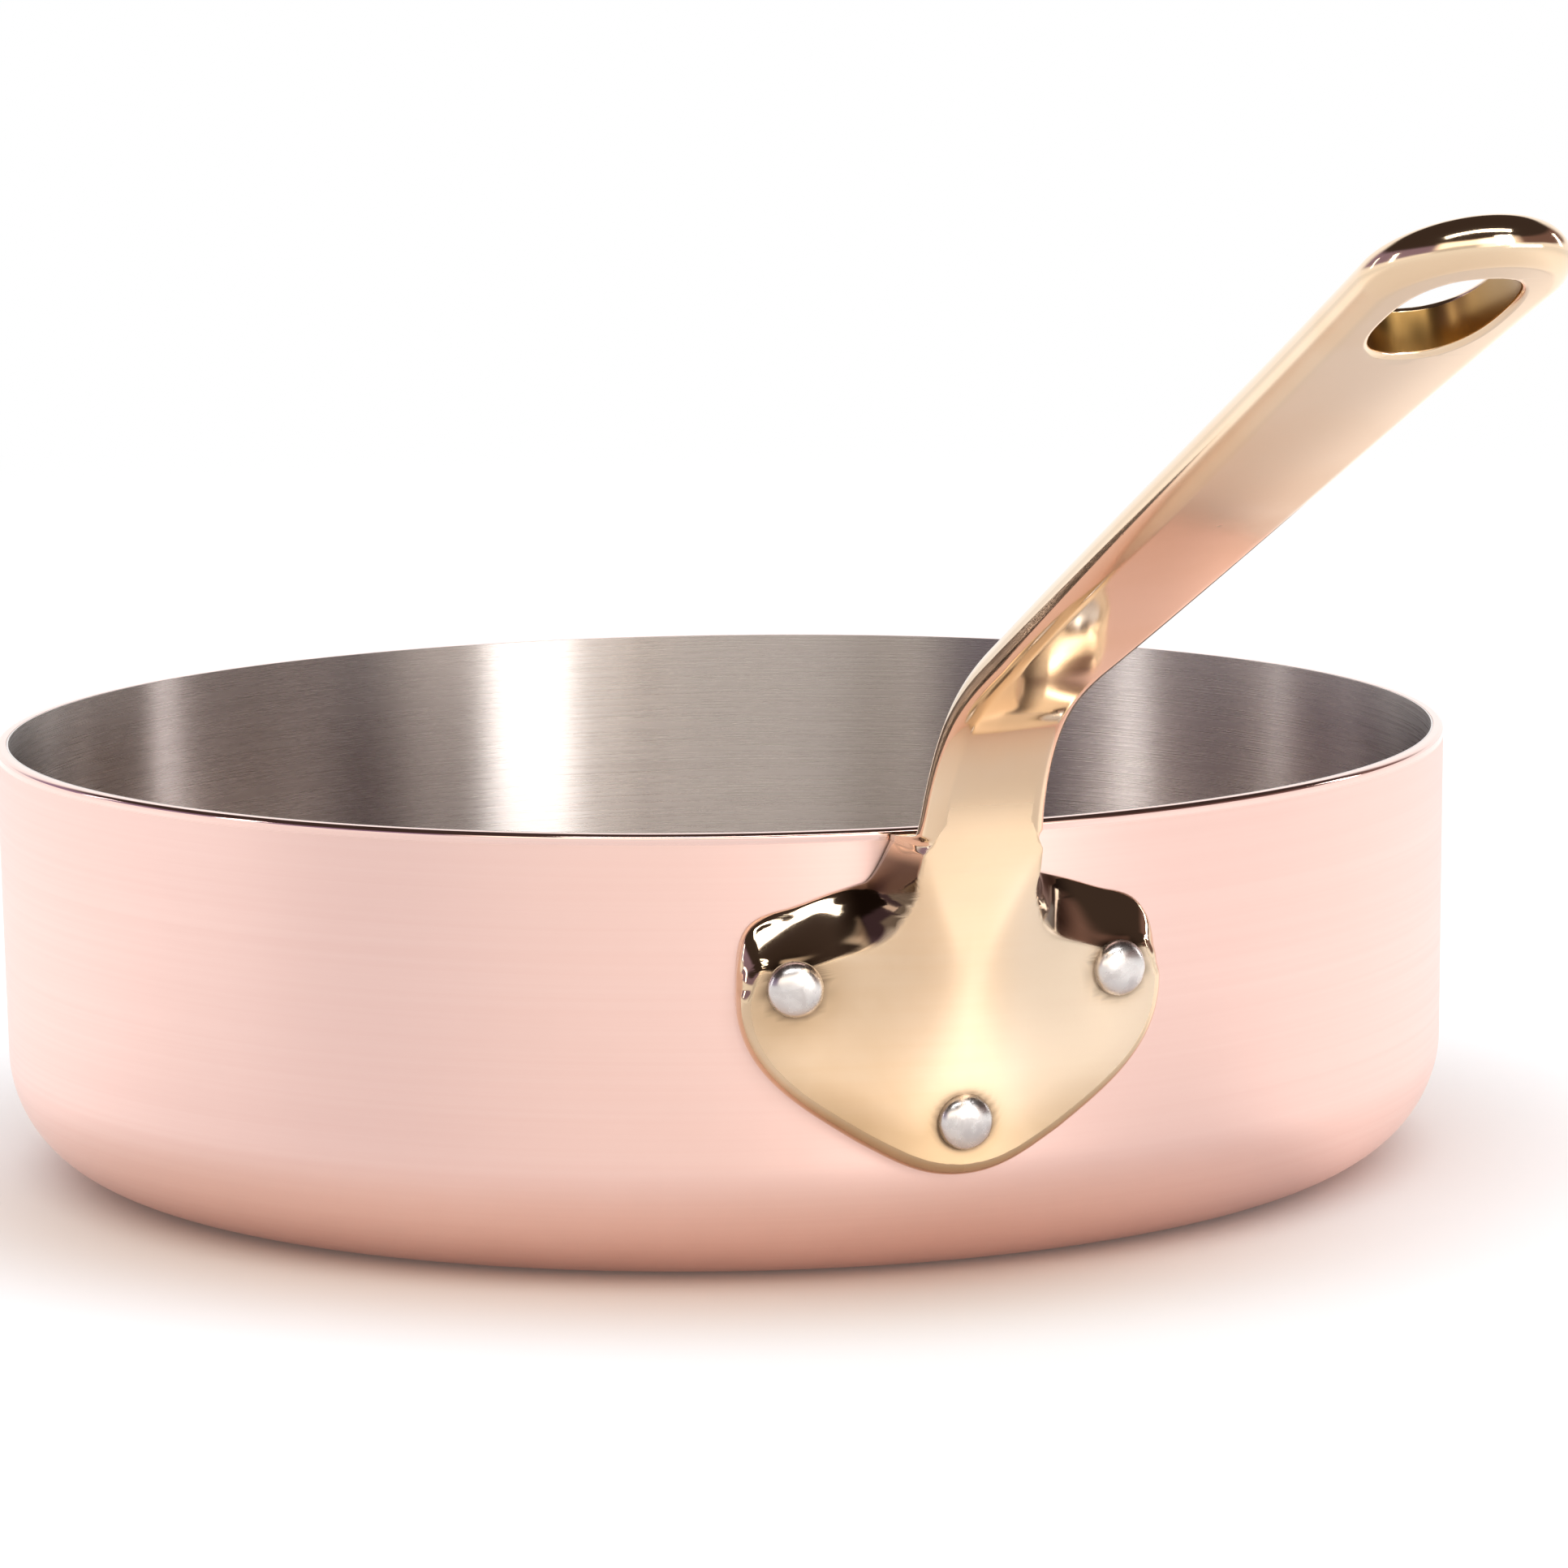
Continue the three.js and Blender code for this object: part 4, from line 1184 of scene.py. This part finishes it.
# %% Tree of the rivets
FULL_HEAD, ROUND_HEAD = 0.8, 1.0
SHANK_SIDES = 32


def rivet_tree():
    """A head on each end of every drawn line, and a round shank along it."""
    tree, given, out = start_tree(
        "rivets", "GeometryNodeTree",
        [
            ("Geometry", GEOMETRY), ("Head radius", FLOAT), ("Head height", FLOAT), ("Head skirt", FLOAT),
            ("Inner radius", FLOAT), ("Inner height", FLOAT), ("Shank radius", FLOAT), ("Metal", MATERIAL),
        ],
        [("Geometry", GEOMETRY)],
    )
    joined = tree.nodes.new("GeometryNodeJoinGeometry")
    outside, outward = (
        add(tree, "GeometryNodeInputNamedAttribute", {"Name": name}, data_type=kind).outputs[0]
        for name, kind in (("outside", "BOOLEAN"), ("outward", "FLOAT_VECTOR"))
    )
    inside = add(tree, "FunctionNodeBooleanMath", {0: outside}, operation="NOT").outputs[0]
    stand = add(tree, "FunctionNodeAlignRotationToVector", {"Vector": outward}, axis="Z")
    for chosen, radius, height, skirt, fullness in (
        (outside, given["Head radius"], given["Head height"], given["Head skirt"], FULL_HEAD),
        (inside, given["Inner radius"], given["Inner height"], 0.0, ROUND_HEAD),
    ):
        head = add(tree, "GeometryNodeGroup", {
            "Radius": radius, "Dome": calc(tree, "SUBTRACT", height, skirt), "Skirt": skirt,
            "Fullness": fullness,
        }, node_tree=domed_head)
        placed = add(tree, "GeometryNodeInstanceOnPoints", {
            "Points": given["Geometry"], "Selection": chosen, "Instance": head.outputs[0],
            "Rotation": stand.outputs[0],
        })
        tree.links.new(placed.outputs[0], joined.inputs[0])
    line = add(tree, "GeometryNodeMeshToCurve", {"Mesh": given["Geometry"]})
    ring = add(tree, "GeometryNodeCurvePrimitiveCircle", {
        "Resolution": SHANK_SIDES, "Radius": given["Shank radius"],
    })
    shank = add(tree, "GeometryNodeCurveToMesh", {
        "Curve": line.outputs[0], "Profile Curve": ring.outputs[0], "Fill Caps": True,
    })
    tree.links.new(shank.outputs[0], joined.inputs[0])
    finish_tree(tree, joined.outputs[0], given["Metal"], out)
    return tree


rivets_tree = rivet_tree()
print("tree:", rivets_tree.name, len(rivets_tree.nodes), "nodes")

# %% Draw the lines and make the rivets


def flange_face_radius(turn, height):
    """Radius of the flange's front at a rivet."""
    at_run = height - FLANGE_TIP_HEIGHT
    line_reach = float(front_line(np.array(at_run))[0])
    depth = line_reach - wall_radius(height)
    crest = CREST_HALF_WIDTH * smooth(at_run, side_run, ledge_run)
    drop = max(depth - FLANGE_THICKNESS, 0) * smooth(abs(turn) * RIM_RADIUS, crest, CREST_FOOT)
    return line_reach - drop


ends, ways, sides, lines_drawn = [], [], [], []
for turn, height in rivet_places:
    way = np.array([math.cos(turn), math.sin(turn), 0.0])
    outer_seat = flange_face_radius(turn, height) - RIVET_SEAT_DEPTH + SEAT_GAP
    lining_face = wall_radius(height) - COPPER_WALL - BOND_GAP - LINING_WALL
    inner_seat = math.sqrt(lining_face ** 2 - (RIVET_INNER_HEAD / 2) ** 2)
    for seat, sign in ((inner_seat, -1), (outer_seat, 1)):
        ends.append((way * seat + np.array([0, 0, height])) * MM)
        ways.append(way * sign)
        sides.append(sign > 0)
    lines_drawn.append((len(ends) - 2, len(ends) - 1))
mesh = bpy.data.meshes.new("rivet_lines")
mesh.from_pydata([tuple(end) for end in ends], lines_drawn, [])
outward_mark = mesh.attributes.new("outward", "FLOAT_VECTOR", "POINT")
outward_mark.data.foreach_set("vector", np.array(ways, np.float32).ravel())
outside_mark = mesh.attributes.new("outside", "BOOLEAN", "POINT")
outside_mark.data.foreach_set("value", sides)
rivets = new_piece("rivets", mesh)
add_tree(rivets, rivets_tree, {
    "Head radius": RIVET_HEAD / 2 * MM, "Head height": RIVET_HEAD_HEIGHT * MM,
    "Head skirt": RIVET_HEAD_SKIRT * MM,
    "Inner radius": RIVET_INNER_HEAD / 2 * MM, "Inner height": RIVET_INNER_HEIGHT * MM,
    "Shank radius": RIVET_SHANK / 2 * MM, "Metal": rivet_steel,
})
make_plain(rivets)
print("rivets", count_triangles(rivets), "triangles")

# %% [markdown]
# ## Into the frame
# Nothing on the pan moves, so every piece rides on the one body. Each says which frame pieces it stands
# for, and which finish it takes.

# %% Ride and replace
for piece, slot, nodes in (
    (copper_shell, "copper", ["copper_body"]),
    (steel_sheet, "lining", ["steel_lining"]),
    (cast_handle, "brass", ["brass_handle"]),
    (rivets, "rivet", ["rivet_upper_left", "rivet_upper_right", "rivet_lower"]),
):
    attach(piece, "root")
    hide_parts(*nodes)
    print(piece.name, "stands for", ", ".join(nodes))

# %% [markdown]
# ## Floor and surroundings
# Polished metal is only as good as what it reflects. The pan stands on a white floor in a studio that is
# dark above and lit by a few soft boxes. The floor glows a little for the camera and for reflections, so
# that it reads white, and its matt part keeps the pan's shadow. Its colour also carries painted shade: a
# warm, darker painted shadow in a ring round the pan's foot, and a darker floor in front of the pan and
# to its right that only reflections see. The world is white behind the pan and, in reflections, white
# near the floor and dark overhead.

# %% Floor
CAMERA_TURN = math.radians(72.64)
FLOOR_RADIUS = 4.0
FLOOR_PAPER = (0.86, 0.86, 0.875)
# Painted shade: the next two colours darken the floor as reflections see it, in front and to the right, and
# the fourth is a painted shadow round the pan's foot
FLOOR_FRONT_PAINTED_SHADE = (0.70, 0.67, 0.66)
FLOOR_SIDE = (0.96, 0.94, 0.93)
FLOOR_RIGHT_PAINTED_SHADE = (0.63, 0.615, 0.625)
FLOOR_PAINTED_SHADOW = (0.69, 0.575, 0.49)
FLOOR_GLOW = 0.05
FLOOR_REACH = (0.3, 1.2)
FLOOR_SIDES = 96
SHADE_REACH = (0.105, 0.17)
FRONT_TURN = -15
FRONT_SPREAD = (0.2, 0.9)
RIGHT_TURN = 40
RIGHT_SPREAD = (0.88, 0.98)
RIGHT_REACH = (0.19, 0.25)


def heading_of(turn):
    """A level direction, by its turn from the camera to the camera's right, in degrees."""
    angle = CAMERA_TURN - QUARTER_TURN + math.radians(turn)
    return (math.cos(angle), math.sin(angle), 0)


def towards(tree, vector, turn):
    """How closely a vector, laid level, points along a turn from the camera: one when it does."""
    return pointing(tree, vector, heading_of(turn))


def floor_material():
    material, tree, place = new_material("white_floor")
    ray = add(tree, "ShaderNodeLightPath").outputs
    away = vector_calc(tree, "LENGTH", place)["Value"]
    far = step_between(tree, away, FLOOR_REACH)
    beside, near_right = (
        calc(tree, "SUBTRACT", 1.0, step_between(tree, away, ends)) for ends in (SHADE_REACH, RIGHT_REACH)
    )
    in_front = step_between(tree, towards(tree, place, FRONT_TURN), FRONT_SPREAD)
    in_sector = step_between(tree, towards(tree, place, RIGHT_TURN), RIGHT_SPREAD)
    grain = add(tree, "ShaderNodeTexNoise", {"Vector": place, "Scale": 60.0, "Detail": 3.0}).outputs[0]
    paper = blend_colour(tree, spread(tree, grain, 0.0, 0.1), FLOOR_PAPER, FLOOR_SIDE)
    front_painted_shade = blend_colour(tree, in_front, FLOOR_SIDE, FLOOR_FRONT_PAINTED_SHADE)
    # Painted shade seen only in reflections: the floor is darker in front of the pan and to its right
    to_right = calc(tree, "MULTIPLY", in_sector, near_right)
    reflected = blend_colour(tree, to_right, front_painted_shade, FLOOR_RIGHT_PAINTED_SHADE)
    near_colour = blend_colour(tree, ray["Is Glossy Ray"], paper, reflected)
    # Painted shadow: the floor's colour darkens and warms close round the pan's foot
    shade = calc(tree, "MULTIPLY", beside, spread(tree, in_front, 0.3, 1.0))
    shaded = blend_colour(tree, shade, near_colour, FLOOR_PAINTED_SHADOW)
    matt = add(tree, "ShaderNodeBsdfDiffuse", {"Color": blend_colour(tree, far, shaded, (0, 0, 0))})
    seen = calc(tree, "ADD", ray["Is Camera Ray"], ray["Is Glossy Ray"])
    seen = clamp01(tree, calc(tree, "ADD", seen, ray["Is Transmission Ray"]))
    strength = calc(tree, "MULTIPLY", seen, spread(tree, far, FLOOR_GLOW, 1.0))
    glow = add(tree, "ShaderNodeEmission", {"Strength": strength})
    both = add(tree, "ShaderNodeAddShader", {0: matt.outputs[0], 1: glow.outputs[0]})
    add(tree, "ShaderNodeOutputMaterial", {"Surface": both.outputs[0]})
    return material


shape = bmesh.new()
bmesh.ops.create_circle(shape, cap_ends=True, segments=FLOOR_SIDES, radius=FLOOR_RADIUS)
mesh = bpy.data.meshes.new("floor")
shape.to_mesh(mesh)
shape.free()
mesh.materials.append(floor_material())
floor = new_piece("floor", mesh)
print("floor", 2 * FLOOR_RADIUS, "m across")

# %% World
OVERHEAD = (0.05, 0.035, 0.03)
LEFT_WALL, RIGHT_WALL = (0.30, 0.22, 0.33), (0.19, 0.115, 0.105)
NEAR_FLOOR = (1.12, 1.10, 1.09)
FRONT_LOW, FRONT_WALL = (0.72, 0.70, 0.69), (2.2, 1.95, 1.72)
KEY_GLOW = (1.3, 1.17, 1.05)
DOME_LOW, DOME_HIGH = (0.35, 0.35, 0.35), (1.7, 1.7, 1.7)
DOME_BAND = (0.35, 0.85)
SIDE_LOW_BAND, SIDE_TOP_BAND = (0.05, 0.14), (0.34, 0.46)
BACK_LOW_BAND = (0.40, 0.55)
FRONT_LOW_BAND, FRONT_TOP_BAND = (0.10, 0.24), (0.40, 0.52)
BACK_SECTOR, FRONT_SECTOR = (0.7, 0.92), (0.70, 0.86)
RIGHT_SECTOR, GLOW_SECTOR = (-0.5, 0.5), (0.86, 0.99)
KEY_TURN = 35
NEAR_SIDE, RIGHT_SIDE, FAR_SIDE = 0, 90, 180

world = bpy.data.worlds.new("studio")
scene.world = world
world.use_nodes = True
tree = world.node_tree
tree.nodes.clear()
way = add(tree, "ShaderNodeTexCoord").outputs["Generated"]
up = add(tree, "ShaderNodeSeparateXYZ", {0: way}).outputs[2]
wall = fade(tree, towards(tree, way, RIGHT_SIDE), RIGHT_SECTOR, LEFT_WALL, RIGHT_WALL)
above_side = fade(tree, up, SIDE_TOP_BAND, wall, OVERHEAD)
beside_pan = fade(tree, up, SIDE_LOW_BAND, NEAR_FLOOR, above_side)
behind_pan = fade(tree, up, BACK_LOW_BAND, NEAR_FLOOR, above_side)
sides = fade(tree, towards(tree, way, FAR_SIDE), BACK_SECTOR, beside_pan, behind_pan)
front_low = fade(tree, up, FRONT_LOW_BAND, FRONT_LOW, FRONT_WALL)
front = fade(tree, up, FRONT_TOP_BAND, front_low, OVERHEAD)
room = fade(tree, towards(tree, way, NEAR_SIDE), FRONT_SECTOR, sides, front)
round_key = step_between(tree, towards(tree, way, KEY_TURN), GLOW_SECTOR)
below_top = calc(tree, "SUBTRACT", 1.0, step_between(tree, up, FRONT_TOP_BAND))
lit_room = blend_colour(tree, calc(tree, "MULTIPLY", round_key, below_top), room, KEY_GLOW, "ADD")
dome = fade(tree, up, DOME_BAND, DOME_LOW, DOME_HIGH)
ray = add(tree, "ShaderNodeLightPath").outputs
shaded = blend_colour(tree, ray["Is Diffuse Ray"], lit_room, dome)
behind = blend_colour(tree, ray["Is Camera Ray"], shaded, (1, 1, 1))
sky = add(tree, "ShaderNodeBackground", {"Color": behind, "Strength": 1.0})
add(tree, "ShaderNodeOutputWorld", {"Surface": sky.outputs[0]})
print("world: white near the floor, a pale front, dark overhead")

# %% [markdown]
# ## Camera
# The camera looks a little down at the pan, with the handle coming towards it and to the right. A long
# lens keeps the rim's curves shallow. Turn is measured round the pan from the side.

# %% Camera
CAMERA_TILT = math.radians(8.39)
CAMERA_ROLL = math.radians(-0.78)
CAMERA_DISTANCE = 1.2
CAMERA_LENS = 165.19
AIM_SIDE = 0.01052
AIM_HEIGHT = 0.06084

right = Vector((math.cos(CAMERA_TURN), math.sin(CAMERA_TURN), 0))
level = math.cos(CAMERA_TILT)
ahead = Vector((-math.sin(CAMERA_TURN) * level, math.cos(CAMERA_TURN) * level, -math.sin(CAMERA_TILT)))
upward = right.cross(ahead)
aim = right * AIM_SIDE + Vector((0, 0, AIM_HEIGHT))
rolled_right = right * math.cos(CAMERA_ROLL) + upward * math.sin(CAMERA_ROLL)
rolled_up = upward * math.cos(CAMERA_ROLL) - right * math.sin(CAMERA_ROLL)
turned = Matrix((rolled_right, rolled_up, -ahead)).transposed()
camera_data = bpy.data.cameras.new("camera")
camera_data.lens = CAMERA_LENS
camera_data.sensor_fit = "HORIZONTAL"
camera_data.sensor_width = 36.0
camera = bpy.data.objects.new("camera", camera_data)
camera.matrix_world = Matrix.Translation(aim - ahead * CAMERA_DISTANCE) @ turned.to_4x4()
scene.collection.objects.link(camera)
scene.camera = camera
print("camera at", [round(value, 3) for value in camera.location])

# %% [markdown]
# ## Soft boxes
# Each soft box draws a streak down the brushed steel and a glint on the brass. Their turns are measured
# from the camera, to its right, and their brightness is a plain level, where one is white. The low fill
# on the right is for the handle alone: a card would keep it off the copper, and here a light link does.

# %% Soft boxes
LAMP_DISTANCE = 1.4


def soft_box(name, turn, rise, width, height, brightness):
    """A lamp panel facing the pan, seen by its reflections and not by the camera."""
    rise = math.radians(rise)
    away = Vector(heading_of(turn)) * math.cos(rise) + Vector((0, 0, math.sin(rise)))
    lamp_data = bpy.data.lights.new(name, "AREA")
    lamp_data.shape = "RECTANGLE"
    lamp_data.size, lamp_data.size_y = width, height
    lamp_data.energy = brightness * math.pi * width * height
    lamp = bpy.data.objects.new(name, lamp_data)
    lamp.location = away * LAMP_DISTANCE + Vector((0, 0, AIM_HEIGHT))
    lamp.rotation_euler = away.to_track_quat("Z", "Y").to_euler()
    lamp.visible_camera = False
    lamp.visible_diffuse = False
    scene.collection.objects.link(lamp)
    print(name, "at", [round(value, 2) for value in lamp.location])
    return lamp


soft_box("key_box", turn=KEY_TURN, rise=18, width=0.36, height=0.6, brightness=7.0)
soft_box("front_box", turn=12, rise=48, width=1.5, height=0.2, brightness=5.0)
soft_box("right_box", turn=112.5, rise=15, width=0.12, height=0.4, brightness=7.0)
soft_box("left_box", turn=-77.5, rise=15, width=0.16, height=0.4, brightness=4.0)
soft_box("back_box", turn=-112.5, rise=15, width=0.08, height=0.4, brightness=3.0)
fill_box = soft_box("fill_box", turn=56, rise=1.5, width=0.95, height=0.13, brightness=4.5)
fill_reach = bpy.data.collections.new("fill_reach")
fill_reach.objects.link(cast_handle)
fill_box.light_linking.receiver_collection = fill_reach

# %% [markdown]
# ## Picture settings
# Colours go to the picture as they are.

# %% Settings and the end
scene.view_settings.view_transform = "Standard"
